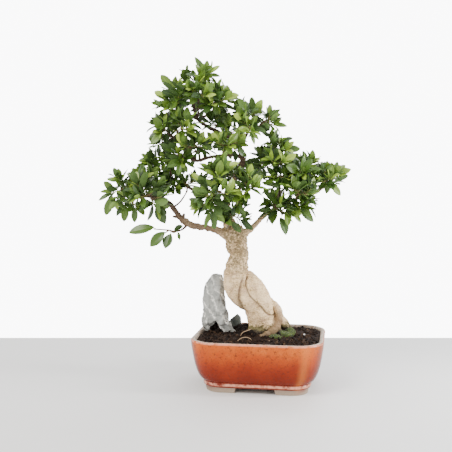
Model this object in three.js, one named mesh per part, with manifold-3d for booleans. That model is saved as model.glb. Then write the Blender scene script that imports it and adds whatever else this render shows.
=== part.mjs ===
// A Chinese banyan (small-leaved fig) bonsai: a swollen, rooted trunk with bare limbs and leafy
// sprays, planted beside a standing stone in a glazed rectangular pot on four corner feet.
// Millimetres, +Z up. +X runs along the pot's long side and the tree is looked at from -Y.
import * as THREE from "three";
import { mergeVertices } from "three/addons/utils/BufferGeometryUtils.js";
import Module from "manifold-3d";

const wasm = await Module();
wasm.setup();

// Driving sizes
const POT = {
  width: 250,
  depth: 205,
  cornerRadius: 50,
  footHeight: 10,
  depthInset: 0.75, // how far the long walls lean in, as a share of the short ones
  radiusInset: 0.6, // how fast the corners tighten as the walls lean in
  cornerSegments: 4,
  // Outer skin from underside to rim, then inner skin down to the floor: height, inset from the outline.
  skin: [
    [10, 26.4], [12, 24], [17, 23.2], [19.8, 24.2], [26, 18.6], [35, 13.2], [48, 7.8], [62, 4.3], [80, 1.5],
    [93, 0.3], [96.4, 2], [97, 4.8], [95.8, 8], [91, 9.6], [60, 13], [34, 21], [22, 29], [18, 36],
  ],
  innerRings: 6, // how many of those rings are the inner skin
  drainRadius: 9,
  drainOffset: 46,
};
const FOOT = {
  inset: 27,
  bottomInset: 29,
  length: 58,
  taper: 8,
  width: 19,
  radius: 30,
  arcSteps: 3,
  sink: 2,
};
const VIEW_TURN = THREE.MathUtils.degToRad(9.2); // the planting's best side against the pot's long side
const GAP = 0.35; // clearance between pieces that touch
const WELD = 2e-3; // corners closer than this count as one
const SOIL = {
  floor: 18,
  edge: 91,
  wallClear: 0.5,
  wallHeights: [22, 34, 60],
  mound: 8, // how far the mound rises above the edge, and how wide it is
  moundX: 88,
  moundY: 62,
  moundCentreY: 8,
  rings: 5,
  ringPower: 1.1,
};
const BLADE = { thickness: 1.6, widthRatio: 0.47, fold: 0.14, droop: 0.13 };
// A leaf's outline: share of its length, share of its half width.
const OUTLINE = [[0, 0.13], [0.32, 0.78], [0.68, 0.94], [1, 0]];
const CROWN_DEPTH = 1.35; // how deep the crown is against the depths in the tables of limbs and sprays
const SEED = 4211;

const COLOUR = {
  glaze: 0xb4492a,
  soil: 0x2a1f19,
  bark: 0xb39a7c,
  stone: 0x9b9d99,
  darkStone: 0x3c423d,
  moss: 0x4a5f24,
  perlite: 0xe9e6de,
  leaf: 0x3f6b2a,
};

// Vectors and chance
const vec = (x, y, z) => new THREE.Vector3(x, y, z);
const UP = vec(0, 0, 1);
const along = (a, b, t) => a.clone().lerp(b, t);
const blend = (a, b, t) => a + (b - a) * t;

function chance(seed) {
  let state = seed % 4294967296;
  return () => {
    state = (state * 1664525 + 1013904223) % 4294967296;
    return state / 4294967296;
  };
}

function sideways(axis) {
  const helper = Math.abs(axis.z) < 0.9 ? UP : vec(1, 0, 0);
  const u = helper.clone().cross(axis).normalize();
  return [u, axis.clone().cross(u).normalize()];
}

// Solids from rings of points, and joins and cuts
function loft(rings) {
  const count = rings[0].length;
  const last = (rings.length - 1) * count;
  const index = [];
  for (let r = 0; r + 1 < rings.length; r++)
    for (let i = 0; i < count; i++) {
      const a = r * count + i;
      const b = r * count + ((i + 1) % count);
      index.push(a, b, b + count, a, b + count, a + count);
    }
  for (let i = 1; i + 1 < count; i++) index.push(0, i + 1, i, last, last + i, last + i + 1);
  return new THREE.BufferGeometry()
    .setAttribute("position", new THREE.Float32BufferAttribute(rings.flat().flatMap((p) => p.toArray()), 3))
    .setIndex(index);
}

function solid(geometry) {
  const bare = geometry.index ? geometry.toNonIndexed() : geometry.clone();
  for (const name of Object.keys(bare.attributes)) if (name !== "position") bare.deleteAttribute(name);
  const merged = mergeVertices(bare, 1e-3);
  return new wasm.Manifold(
    new wasm.Mesh({
      numProp: 3,
      vertProperties: merged.attributes.position.array,
      triVerts: new Uint32Array(merged.index.array),
    }),
  );
}

function join(bodies) {
  return bodies.reduce((sum, body) => sum.add(body));
}

function largest(body) {
  return body.decompose().sort((a, b) => b.volume() - a.volume())[0];
}

function geometryOf(body) {
  const mesh = body.getMesh();
  const points = new Float32Array(mesh.numVert * 3);
  for (let i = 0; i < mesh.numVert; i++)
    points.set(mesh.vertProperties.subarray(i * mesh.numProp, i * mesh.numProp + 3), i * 3);
  const geometry = new THREE.BufferGeometry()
    .setAttribute("position", new THREE.BufferAttribute(points, 3))
    .setIndex(new THREE.BufferAttribute(mesh.triVerts, 1));
  geometry.computeVertexNormals();
  return geometry;
}

// Whether every edge still has exactly two faces once corners closer than the weld distance are one.
function isSound(body) {
  const bare = geometryOf(body).deleteAttribute("normal");
  const index = mergeVertices(bare, WELD).index.array;
  const edges = new Map();
  for (let i = 0; i < index.length; i += 3)
    for (let k = 0; k < 3; k++) {
      const from = index[i + k];
      const to = index[i + ((k + 1) % 3)];
      if (from === to) return false;
      edges.set(`${from} ${to}`, (edges.get(`${from} ${to}`) ?? 0) + 1);
    }
  const reversed = (edge) => edge.split(" ").reverse().join(" ");
  return [...edges].every(([edge, count]) => count === 1 && edges.get(reversed(edge)) === 1);
}

// Frames across a run of points, turned as little as they can be from one to the next.
function framesAlong(points) {
  let [u] = sideways(points[1].clone().sub(points[0]).normalize());
  return points.map((_, i) => {
    const before = points[Math.max(0, i - 1)];
    const after = points[Math.min(points.length - 1, i + 1)];
    const axis = after.clone().sub(before).normalize();
    u = u.clone().addScaledVector(axis, -u.dot(axis)).normalize();
    return [u, axis.clone().cross(u)];
  });
}

function ringAt(centre, [u, v], radius, sides, turn = 0) {
  return Array.from({ length: sides }, (_, k) => {
    const angle = turn + (2 * Math.PI * k) / sides;
    return centre
      .clone()
      .addScaledVector(u, radius * Math.cos(angle))
      .addScaledVector(v, radius * Math.sin(angle));
  });
}

// A tapering tube through points, with a radius at each.
function tube(points, radii, sides) {
  const frames = framesAlong(points);
  return solid(loft(points.map((p, i) => ringAt(p, frames[i], radii[i], sides))));
}

// A run of the tree given as rows of x, y, z, radius. extra widens it, for the hole that it stands in.
function run(rows, sides, extra = 0) {
  return tube(rows.map(([x, y, z]) => vec(x, y, z)), rows.map((row) => row[3] + extra), sides);
}

// Pot
function roundedRing(inset, z, segments) {
  const radius = POT.cornerRadius - inset * POT.radiusInset;
  const x = POT.width / 2 - inset - radius;
  const y = POT.depth / 2 - inset * POT.depthInset - radius;
  const corners = [[x, y, 0], [-x, y, 90], [-x, -y, 180], [x, -y, 270]];
  return corners.flatMap(([cx, cy, start]) =>
    Array.from({ length: segments + 1 }, (_, i) => {
      const turn = THREE.MathUtils.degToRad(start + (90 * i) / segments);
      return vec(cx + radius * Math.cos(turn), cy + radius * Math.sin(turn), z);
    }),
  );
}

// A corner foot in plan: an L whose outside follows the pot's corner. Its first point is the inner corner.
function footRing(inset, shorten, z) {
  const x = POT.width / 2 - inset;
  const y = POT.depth / 2 - inset * POT.depthInset;
  const length = FOOT.length - shorten;
  const inner = FOOT.width - (shorten * FOOT.width) / FOOT.length;
  const arc = Array.from({ length: FOOT.arcSteps + 1 }, (_, i) => {
    const turn = (Math.PI / 2) * (i / FOOT.arcSteps);
    return vec(x - FOOT.radius * (1 - Math.cos(turn)), y - FOOT.radius * (1 - Math.sin(turn)), z);
  });
  return [
    vec(x - inner, y - inner, z),
    vec(x - inner, y - length, z),
    vec(x, y - length, z),
    ...arc,
    vec(x - length, y, z),
    vec(x - length, y - inner, z),
  ];
}

function pot() {
  const bowl = solid(loft(POT.skin.map(([z, inset]) => roundedRing(inset, z, POT.cornerSegments))));
  const underside = footRing(FOOT.bottomInset, FOOT.taper, 0);
  const foot = loft([underside, footRing(FOOT.inset, 0, POT.footHeight + FOOT.sink)]);
  const feet = [[1, 1], [-1, 1], [-1, -1], [1, -1]].map(([sx, sy]) => {
    const placed = foot.clone().scale(sx, sy, 1);
    if (sx * sy < 0) placed.setIndex(Array.from(placed.index.array).reverse());
    return solid(placed);
  });
  const drill = new THREE.CylinderGeometry(POT.drainRadius, POT.drainRadius, 2 * POT.footHeight, 12)
    .rotateX(Math.PI / 2)
    .translate(0, 0, (POT.footHeight + SOIL.floor) / 2);
  const drains = [-1, 1].map((side) => solid(drill.clone().translate(side * POT.drainOffset, 0, 0)));
  return join([bowl, ...feet]).subtract(join(drains));
}

// Soil: a low lumpy mound that fills the pot to below its rim, in the planting's frame.
function soilHeight(x, y) {
  const reach = (x / SOIL.moundX) ** 2 + ((y - SOIL.moundCentreY) / SOIL.moundY) ** 2;
  const lumps = 0.9 * Math.sin(x * 0.11 + 1.3) * Math.cos(y * 0.13) + 0.6 * Math.sin(x * 0.23 - y * 0.19);
  return SOIL.edge + SOIL.mound * Math.exp(-reach) + lumps;
}

// Inset of the pot's inner skin at a height.
function innerInset(z) {
  const inner = POT.skin.slice(-POT.innerRings).reverse();
  const upper = Math.max(1, inner.findIndex(([height]) => height >= z));
  const [z0, inset0] = inner[upper - 1];
  const [z1, inset1] = inner[upper];
  return blend(inset0, inset1, (z - z0) / (z1 - z0));
}

function soilMound(raise = 0) {
  const walls = [SOIL.floor + GAP, ...SOIL.wallHeights];
  const rings = walls.map((z) => roundedRing(innerInset(z) + SOIL.wallClear, z, POT.cornerSegments));
  const edge = roundedRing(innerInset(SOIL.edge) + SOIL.wallClear, 0, POT.cornerSegments);
  for (let k = 0; k < SOIL.rings; k++) {
    const shrink = 1 - (k / SOIL.rings) ** SOIL.ringPower;
    rings.push(edge.map((p) => vec(p.x * shrink, p.y * shrink, 0)));
  }
  const planted = rings.map((ring) => ring.map((p) => p.clone().applyAxisAngle(UP, -VIEW_TURN)));
  for (const ring of planted.slice(walls.length)) for (const p of ring) p.z = soilHeight(p.x, p.y) + raise;
  return solid(loft(planted));
}

// Standing stone: rows of height, left, right, middle of the depth, half depth. Its foot has two legs.
const STONE = {
  rows: [
    [66, -100, -44, 33, 14],
    [88, -105, -47, 33, 15],
    [103, -112, -54, 34, 16],
    [115, -110, -60, 34, 16],
    [129, -109, -63, 34, 16],
    [146, -110, -66, 34, 15],
    [156, -113, -68, 34, 14],
    [172, -110, -70, 34, 13],
    [187, -106, -71, 34, 12],
    [198, -100, -72, 34, 10],
    [207, -92, -74, 34, 6],
  ],
  slant: -0.45, // how far it runs back, from right to left
  sides: 12,
  roughness: 0.12,
  // The notch between its legs, as x, z round its outline
  notch: [[-86, 117], [-100, 96], [-102, 55], [-66, 55], [-69, 96]],
  notchFront: -20,
  notchBack: 90,
};

function stoneRing([z, left, right, middle, halfDepth], draw, extra) {
  const halfWidth = (right - left) / 2;
  return Array.from({ length: STONE.sides }, (_, k) => {
    const turn = (2 * Math.PI * (k + 0.4 * draw())) / STONE.sides;
    const rough = 1 + STONE.roughness * (draw() - 0.5);
    const x = (halfWidth * rough + extra) * Math.cos(turn);
    const y = (halfDepth * rough + extra) * Math.sin(turn);
    return vec((left + right) / 2 + x, middle + y + x * STONE.slant, z);
  });
}

function standingStone(extra = 0) {
  const draw = chance(SEED + 7);
  const body = solid(loft(STONE.rows.map((row) => stoneRing(row, draw, extra))));
  const [apexX, apexZ] = STONE.notch[0];
  const wedge = (y) => STONE.notch.map(([x, z]) => vec(x - extra * Math.sign(x - apexX), y, z));
  const [front, back] = [wedge(STONE.notchFront), wedge(STONE.notchBack)];
  for (const outline of [front, back]) outline[0].z = apexZ - 2 * extra;
  return body.subtract(solid(loft([back, front])));
}

// A lump: a rough ellipsoid about a centre.
function lump({ centre, radii, seed, detail, rough }, extra = 0) {
  const draw = chance(SEED + seed);
  const ball = new THREE.IcosahedronGeometry(1, detail).deleteAttribute("normal").deleteAttribute("uv");
  const geometry = mergeVertices(ball, 1e-3);
  const at = geometry.attributes.position;
  for (let i = 0; i < at.count; i++) {
    const swell = 1 + rough * (draw() - 0.5);
    at.setXYZ(
      i,
      centre[0] + at.getX(i) * (radii[0] * swell + extra),
      centre[1] + at.getY(i) * (radii[1] * swell + extra),
      centre[2] + at.getZ(i) * (radii[2] * swell + extra),
    );
  }
  return solid(geometry);
}

const DARK_STONE = { centre: [-46, 52, 110], radii: [15, 11, 20], seed: 11, detail: 1, rough: 0.28 };
const GRAIN = {
  centre: [84, -8, soilHeight(84, -8) + 1.25],
  radii: [2.6, 2.2, 2],
  seed: 13,
  detail: 0,
  rough: 0.3,
};
const MOSS = [
  [[30, -28, 92], [15, 11, 9]],
  [[46, -17, 94], [14, 13, 10]],
  [[59, 1, 94], [11, 14, 10]],
];

// Trunk: runs of swollen stem and root that have grown into each other. Rows are x, y, z, radius.
const TRUNK = {
  column: [
    [-61, 0, 316, 11], [-58, 0, 306, 14], [-52, 0, 296, 19], [-46, 0, 284, 20.5], [-45.5, 0, 268, 20.5],
    [-42, 0, 258, 19], [-41, 0, 249, 17.8], [-43, 0, 238, 19.4], [-45, 0, 226, 21.5], [-47, 0, 212, 24],
    [-46, 0, 196, 24.5], [-44, 1, 182, 23], [-38.5, 2, 168, 19], [-28, 3, 154, 14], [-14, 4, 142, 14.5],
    [-2, 5, 130, 19],
  ],
  lower: [
    [-30, 2, 200, 20], [-24, 2, 184, 25], [-16, 3, 166, 29], [-6, 4, 150, 27.5], [1, 5, 136, 28.5],
    [4, 6, 122, 28], [5, 6, 108, 26.5], [5, 6, 92, 28], [5, 6, 66, 24],
  ],
  swelling: [
    [-22, -5, 212, 8], [-16, -7, 202, 13.5], [-10.5, -8, 191, 17], [-5.5, -9, 180, 18.6], [-0.5, -9, 169, 19.2],
    [4, -8, 158, 18.8], [9, -5, 147, 16.5], [14, -1, 137, 12], [19, 3, 129, 7],
  ],
};
const ROOTS = {
  wrap: [
    [18, 3, 160, 7], [27, 0, 152, 8.4], [34, -3, 144, 8], [37, -7, 135, 7.2], [36, -12, 126, 7],
    [33, -18, 117, 7], [27, -25, 108, 7.2], [18, -31, 101, 7.2], [8, -36, 95, 6.4], [-1, -40, 90, 5.2],
    [-9, -43, 83, 4],
  ],
  back: [[26, 18, 130, 13], [39, 22, 120, 12], [48, 23, 110, 11], [54, 24, 99, 10], [58, 24, 84, 8]],
  left: [[-6, -2, 116, 17], [-14, -6, 105, 12], [-23, -11, 95, 8], [-32, -16, 84, 5]],
  front: [[4, -4, 118, 20], [-1, -11, 106, 16], [-8, -18, 96, 12], [-14, -25, 84, 7]],
  right: [[14, -4, 116, 18], [26, -4, 105, 14], [36, -6, 96, 10], [44, -9, 84, 6]],
  rear: [[0, 14, 124, 22], [-6, 28, 108, 15], [-14, 42, 96, 9], [-22, 54, 84, 5]],
};

// Limbs, each starting inside what it grows from. Rows are x, y, z, radius.
const LIMBS = {
  left: [
    [-54, 0, 284, 14], [-69, -1, 291, 8.6], [-84, -2, 298, 6], [-100, -4, 302, 5.2], [-116, -5, 304, 5],
    [-131, -6, 307, 5.2], [-143, -6, 313, 5.8], [-152, -5, 321, 5.2], [-161, -4, 332, 4.7],
    [-169, -3, 343, 4.3], [-180, -2, 353, 3.9], [-196, 0, 360, 3.4], [-216, 0, 363, 2.9], [-238, 0, 364, 2.3],
    [-256, 0, 370, 1.8],
  ],
  leftStub: [[-154, -5, 322, 3.4], [-166, -7, 323, 2.6], [-178, -8, 324, 2]],
  leftFront: [[-168, -3, 342, 3.4], [-178, -18, 348, 2.7], [-192, -32, 354, 2.2], [-206, -38, 362, 1.7]],
  leftBack: [[-180, -2, 353, 3.4], [-190, 20, 361, 2.7], [-202, 40, 368, 2.2], [-216, 52, 374, 1.6]],
  second: [
    [-66, 2, 330, 6], [-84, 14, 350, 4], [-108, 21, 365, 3.4], [-133, 24, 376, 3.1], [-157, 23, 389, 2.8],
    [-177, 20, 401, 2.1],
  ],
  link: [[-167, -3, 341, 2.4], [-156, 3, 350, 1.7], [-148, 6, 361, 1.5], [-141, 8, 373, 1.3]],
  droop: [[-139, -7, 309, 2.6], [-149, -11, 300, 1.8], [-162, -14, 296, 1.5]],
  leader: [
    [-59, 0, 308, 12], [-65, 2, 324, 9.6], [-66, 3, 342, 8], [-62, 5, 364, 7], [-52, 8, 390, 6.2],
    [-39, 11, 414, 5.6], [-33, 12, 436, 5.2], [-40, 11, 456, 4.8], [-60, 9, 474, 4.4], [-86, 6, 488, 4],
    [-108, 3, 500, 3.6], [-121, 1, 511, 3.2], [-127, 0, 530, 2.8], [-127, 0, 552, 2.2],
  ],
  apexLeft: [[-119, 1, 509, 3], [-137, -3, 517, 2.4], [-155, -6, 523, 1.9]],
  apexRight: [[-119, 1, 509, 3], [-104, -3, 516, 2.4], [-89, -6, 526, 2]],
  apexBack: [[-121, 1, 511, 2.8], [-120, 18, 524, 2.2], [-121, 32, 540, 1.8]],
  midLeft: [
    [-34, 12, 438, 4.4], [-52, 4, 442, 3.8], [-76, -6, 440, 3.4], [-100, -11, 436, 3], [-121, -12, 430, 2.6],
    [-139, -12, 438, 2.2],
  ],
  upperLeft: [[-122, -12, 431, 2.4], [-140, -8, 450, 2.1], [-156, -5, 467, 1.9], [-172, -3, 480, 1.6]],
  upperRight: [[-39, 11, 456, 3.8], [-30, 6, 474, 3], [-21, 2, 490, 2.4], [-12, 0, 501, 1.9]],
  upperBack: [[-58, 9, 472, 3.4], [-58, 28, 482, 2.6], [-54, 46, 490, 2]],
  centreFront: [[-65, 0, 328, 6], [-71, -18, 342, 4], [-78, -34, 358, 3], [-82, -46, 376, 2.2]],
  centreRight: [[-60, -2, 318, 6], [-51, -16, 338, 4.2], [-43, -27, 352, 3], [-32, -36, 364, 2.2]],
  back: [[-64, 4, 334, 6], [-62, 28, 352, 4.4], [-60, 54, 370, 3.2], [-62, 78, 384, 2.2]],
  backRight: [[-61, 32, 355, 3], [-42, 48, 372, 2.4], [-22, 62, 388, 1.9]],
  right: [
    [-42, 0, 280, 14], [-31, 0, 291, 9], [-20, -2, 299, 5.8], [-8, -3, 310, 4.9], [2, -4, 321, 4.7],
    [13, -4, 330, 4.5], [26, -2, 338, 4.2], [43, 0, 347, 3.9], [61, 1, 355, 3.6], [80, 0, 361, 3.2],
    [99, -2, 367, 2.9], [114, -3, 375, 2.5], [126, -3, 386, 2.1],
  ],
  rightFront: [[42, 0, 346, 3.2], [50, -16, 352, 2.6], [60, -28, 358, 2]],
  rightMid: [[40, 0, 345, 3.4], [38, 7, 370, 2.8], [32, 9, 394, 2.4], [30, 7, 412, 2]],
  rightBack: [[26, -2, 338, 3.4], [34, 24, 356, 2.6], [44, 48, 372, 2]],
  rightOuter: [[80, 0, 361, 2.8], [85, 5, 382, 2.2], [90, 3, 402, 1.8]],
};
const BARK_SIDES = { trunk: 12, roots: 6, limbs: 5, twigs: 3 };

// Sprays: the limb each grows from, then its shoot tips as x, y, z, leaf length.
const SPRAYS = [
  ["leader", [-100, -5, 595, 34], [-117, -20, 574, 32], [-140, 0, 578, 32]],
  ["leader", [-124, -30, 556, 32], [-106, -38, 545, 34]],
  ["apexLeft", [-165, -4, 562, 34], [-154, -24, 546, 36]],
  ["apexLeft", [-181, 0, 547, 32], [-170, -12, 526, 34], [-158, 22, 530, 32]],
  ["apexRight", [-84, -8, 566, 30], [-72, -18, 543, 38], [-90, -34, 532, 34]],
  ["apexBack", [-118, 30, 582, 32], [-146, 38, 560, 32], [-94, 38, 560, 32]],
  ["apexBack", [-118, 54, 536, 34], [-84, 32, 532, 32]],
  ["upperLeft", [-187, -4, 502, 30], [-186, -16, 482, 32]],
  ["upperLeft", [-152, -28, 503, 38], [-136, -42, 484, 32]],
  ["upperLeft", [-196, 0, 459, 28], [-178, 18, 468, 34]],
  ["upperLeft", [-168, 38, 492, 32], [-142, 34, 484, 32]],
  ["midLeft", [-142, -32, 456, 32], [-117, -38, 460, 34]],
  ["midLeft", [-166, -12, 444, 34], [-148, -28, 426, 34]],
  ["midLeft", [-134, 30, 446, 32], [-108, 40, 462, 32]],
  ["midLeft", [-82, -32, 462, 30], [-62, -42, 456, 32], [-44, -30, 462, 32]],
  ["leader", [-66, -16, 496, 32], [-96, -18, 500, 32]],
  ["upperBack", [-74, 44, 502, 32], [-44, 62, 484, 32], [-62, 60, 462, 34]],
  ["upperRight", [-14, -8, 517, 36], [-48, -10, 526, 32]],
  ["upperRight", [15, -5, 511, 30], [23, -14, 496, 28]],
  ["upperRight", [-30, -28, 498, 34], [-20, -38, 481, 34]],
  ["upperRight", [-34, 34, 516, 32], [0, 34, 494, 32]],
  ["rightMid", [45, -4, 450, 34], [24, 6, 468, 32]],
  ["rightMid", [20, -24, 428, 30], [41, -28, 424, 32]],
  ["rightMid", [4, 16, 440, 34], [4, 22, 412, 32]],
  ["rightMid", [32, 50, 446, 32], [58, 36, 432, 32]],
  ["rightOuter", [80, -2, 421, 32], [98, -6, 425, 28]],
  ["rightOuter", [60, -20, 414, 32], [77, -28, 403, 42]],
  ["rightOuter", [92, 34, 408, 32], [70, 46, 404, 32]],
  ["right", [142, -4, 403, 32], [128, -14, 394, 32], [134, 12, 384, 32]],
  ["right", [115, -4, 409, 30], [103, -18, 396, 30]],
  ["rightFront", [62, -40, 374, 40], [88, -30, 366, 36]],
  ["rightMid", [46, -24, 396, 34], [30, -14, 398, 32]],
  ["right", [86, -14, 350, 34], [72, -24, 341, 34]],
  ["right", [50, -26, 328, 38], [20, -18, 334, 34], [20, -22, 355, 32]],
  ["rightBack", [60, 52, 386, 34], [30, 66, 380, 34], [76, 46, 368, 34]],
  ["centreFront", [-80, -62, 396, 34], [-94, -54, 412, 34], [-74, -44, 422, 32]],
  ["centreFront", [-63, -66, 368, 32], [-100, -64, 364, 36]],
  ["centreFront", [-112, -50, 386, 36], [-108, -48, 346, 36], [-90, -42, 334, 38]],
  ["centreRight", [-16, -48, 379, 32], [-34, -54, 366, 34], [-22, -36, 402, 32]],
  ["centreRight", [-42, -40, 396, 34], [-46, -46, 346, 28]],
  ["centreRight", [-58, -22, 322, 30], [-38, -18, 318, 30]],
  ["left", [-266, -4, 394, 30], [-285, 0, 368, 30], [-250, -18, 376, 34]],
  ["left", [-236, -8, 397, 32], [-212, -8, 398, 36]],
  ["leftFront", [-230, -36, 384, 40], [-222, -34, 362, 34], [-196, -28, 376, 32], [-199, -36, 346, 42]],
  ["left", [-262, 6, 348, 34], [-237, -10, 344, 36]],
  ["leftBack", [-236, 38, 386, 34], [-252, 30, 364, 34], [-206, 58, 376, 34]],
  ["second", [-178, 16, 384, 26], [-162, 10, 376, 26], [-168, 44, 388, 28]],
  ["second", [-192, -2, 408, 26], [-210, 10, 428, 36], [-198, 26, 444, 28]],
  ["second", [-168, -4, 418, 28], [-180, 8, 442, 28]],
  ["link", [-132, 8, 390, 24], [-147, 12, 388, 24]],
  ["droop", [-176, -16, 288, 34], [-196, -20, 290, 38], [-156, -16, 293, 28]],
  ["back", [-80, 92, 396, 34], [-56, 102, 402, 34], [-38, 88, 412, 32]],
  ["backRight", [-8, 78, 402, 34], [-26, 66, 420, 32]],
];

// Leaves
function bladeWidth(a) {
  const next = Math.max(1, OUTLINE.findIndex(([at]) => at >= a));
  const [a0, w0] = OUTLINE[next - 1];
  const [a1, w1] = OUTLINE[next];
  return blend(w0, w1, (a - a0) / (a1 - a0));
}

function makeLeaf(base, direction, facing, length) {
  const normal = facing.clone().addScaledVector(direction, -facing.dot(direction)).normalize();
  const side = normal.clone().cross(direction);
  const leaf = { base, direction, normal, side, length, halfWidth: (length * BLADE.widthRatio) / 2 };
  leaf.middle = leafPoint(leaf, 0.5, 0);
  leaf.samples = [];
  for (let a = 0.1; a <= 1; a += SAMPLE_STEP / length) {
    const width = bladeWidth(a);
    const count = Math.ceil((2 * width * leaf.halfWidth) / SAMPLE_STEP);
    for (let i = 0; i <= count; i++) leaf.samples.push(leafPoint(leaf, a, width * ((2 * i) / count - 1)));
  }
  return leaf;
}

// A place on a leaf: share of its length, share of its half width to a side, height above its middle.
function leafPoint(leaf, a, w, lift = 0) {
  const rise = BLADE.fold * leaf.halfWidth * Math.abs(w) - BLADE.droop * leaf.length * a * a + lift;
  return leaf.base
    .clone()
    .addScaledVector(leaf.direction, a * leaf.length)
    .addScaledVector(leaf.side, w * leaf.halfWidth)
    .addScaledVector(leaf.normal, rise);
}

// A closed mesh under way: corners, and triangles that name them.
class Skin {
  points = [];
  faces = [];

  add(...points) {
    this.points.push(...points);
    return points.map((_, i) => this.points.length - points.length + i);
  }

  // A leaf in place of the triangle a, b, c: its blade is a thin lens with a high and a low middle point.
  leaf(a, b, c, leaf) {
    const [, ...outer] = OUTLINE;
    const left = this.add(...outer.map(([at, width]) => leafPoint(leaf, at, -width)));
    const back = outer.slice(0, -1).reverse();
    const right = this.add(...back.map(([at, width]) => leafPoint(leaf, at, width)));
    const half = BLADE.thickness / 2;
    const [top, bottom] = this.add(leafPoint(leaf, 0.5, 0, half), leafPoint(leaf, 0.5, 0, -half));
    const rim = [a, ...left, ...right, b];
    const above = [...rim, c];
    above.forEach((corner, i) => this.faces.push([corner, above[(i + 1) % above.length], top]));
    rim.forEach((corner, i) => this.faces.push([rim[(i + 1) % rim.length], corner, bottom]));
  }

  solid() {
    const positions = this.points.flatMap((p) => p.toArray());
    return solid(
      new THREE.BufferGeometry()
        .setAttribute("position", new THREE.Float32BufferAttribute(positions, 3))
        .setIndex(this.faces.flat()),
    );
  }
}

// Room: a leaf or stem is placed only where it clears what is there already.
const SAMPLE_STEP = 2.4;
const BLADE_REACH = { from: 0.08, to: 1.04, beside: 0.12 };
const LEAF_CLEAR = 1.9;
const STEM_CLEAR = 1;

function onLeaf(p, leaf) {
  const offset = p.clone().sub(leaf.base);
  const a = offset.dot(leaf.direction) / leaf.length;
  if (a < BLADE_REACH.from || a > BLADE_REACH.to) return false;
  const w = Math.abs(offset.dot(leaf.side)) / leaf.halfWidth;
  if (w > bladeWidth(Math.min(a, 1)) + BLADE_REACH.beside) return false;
  const layer = BLADE.fold * leaf.halfWidth * w - BLADE.droop * leaf.length * a * a;
  return Math.abs(offset.dot(leaf.normal) - layer) < LEAF_CLEAR;
}

function leavesCross(one, other) {
  if (one.middle.distanceTo(other.middle) > 0.6 * (one.length + other.length)) return false;
  return one.samples.some((p) => onLeaf(p, other)) || other.samples.some((p) => onLeaf(p, one));
}

function distanceTo(p, { a, b }) {
  const span = b.clone().sub(a);
  const t = THREE.MathUtils.clamp(p.clone().sub(a).dot(span) / span.lengthSq(), 0, 1);
  return p.distanceTo(a.clone().addScaledVector(span, t));
}

function leafHits(leaf, segment, own) {
  const reach = 0.6 * leaf.length + segment.radius + segment.a.distanceTo(segment.b) / 2;
  if (along(segment.a, segment.b, 0.5).distanceTo(leaf.middle) > reach + 2) return false;
  const near = own ? 0.3 * leaf.length : 0;
  return leaf.samples.some(
    (p) => p.distanceTo(leaf.base) > near && distanceTo(p, segment) < segment.radius + STEM_CLEAR,
  );
}

function stemsMeet(one, other) {
  for (let t = 0; t <= 1; t += 0.1)
    if (distanceTo(along(one.a, one.b, t), other) < one.radius + other.radius + STEM_CLEAR) return true;
  return false;
}

function segmentsOf(rows) {
  return rows.slice(1).map((row, i) => ({
    a: vec(...rows[i].slice(0, 3)),
    b: vec(...row.slice(0, 3)),
    radius: Math.max(rows[i][3], row[3]),
  }));
}

// The crown's runs and tips with their depth drawn out.
const deepen = (rows) => rows.map(([x, y, ...rest]) => [x, y * CROWN_DEPTH, ...rest]);

// Sprays: a brown twig grows from the limb, and a green stem goes on from its end and forks to the tips.
const TWIG = { radius: 1.9, tip: 1.35, woody: 0.5, least: 4, fork: 0.4, bow: 0.12, sway: 0.7, tries: 40 };
const SPRAY_TRIES = 6;
const STEM = { radius: 1.25, tip: 0.9, foot: 0.6, stagger: 0.16 };
const ROSETTE = { span: 13, twist: 0.6, lift: 0.5, crown: 0.15, crownSize: 0.85, tries: 40 };
// How far chance moves a leaf, and how each further try turns it more and shortens it.
const LUCK = {
  turn: 0.35,
  turnStep: 0.05,
  lean: 1.2,
  roll: 0.6,
  skyward: 0.35,
  smallest: 0.85,
  range: 0.28,
  shrink: 0.006,
};
// Side leaves from the stem up: which of its three sides carry one, and how far they lean out.
const WHORLS = [
  { sides: [0, 1], spread: 1.4 },
  { sides: [2], spread: 0.85 },
];

function nearestOnLimb(rows, target) {
  let best = null;
  for (let i = 1; i < rows.length; i++)
    for (let t = i === 1 ? 0.6 : 0; t <= 0.8; t += 0.2) {
      const [x, y, z, radius] = rows[i].map((value, k) => blend(rows[i - 1][k], value, t));
      const point = vec(x, y, z);
      if (!best || point.distanceTo(target) < best.point.distanceTo(target)) best = { point, radius };
    }
  return best;
}

function plainAverage(points) {
  return points.reduce((sum, p) => sum.add(p), vec(0, 0, 0)).divideScalar(points.length);
}

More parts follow.
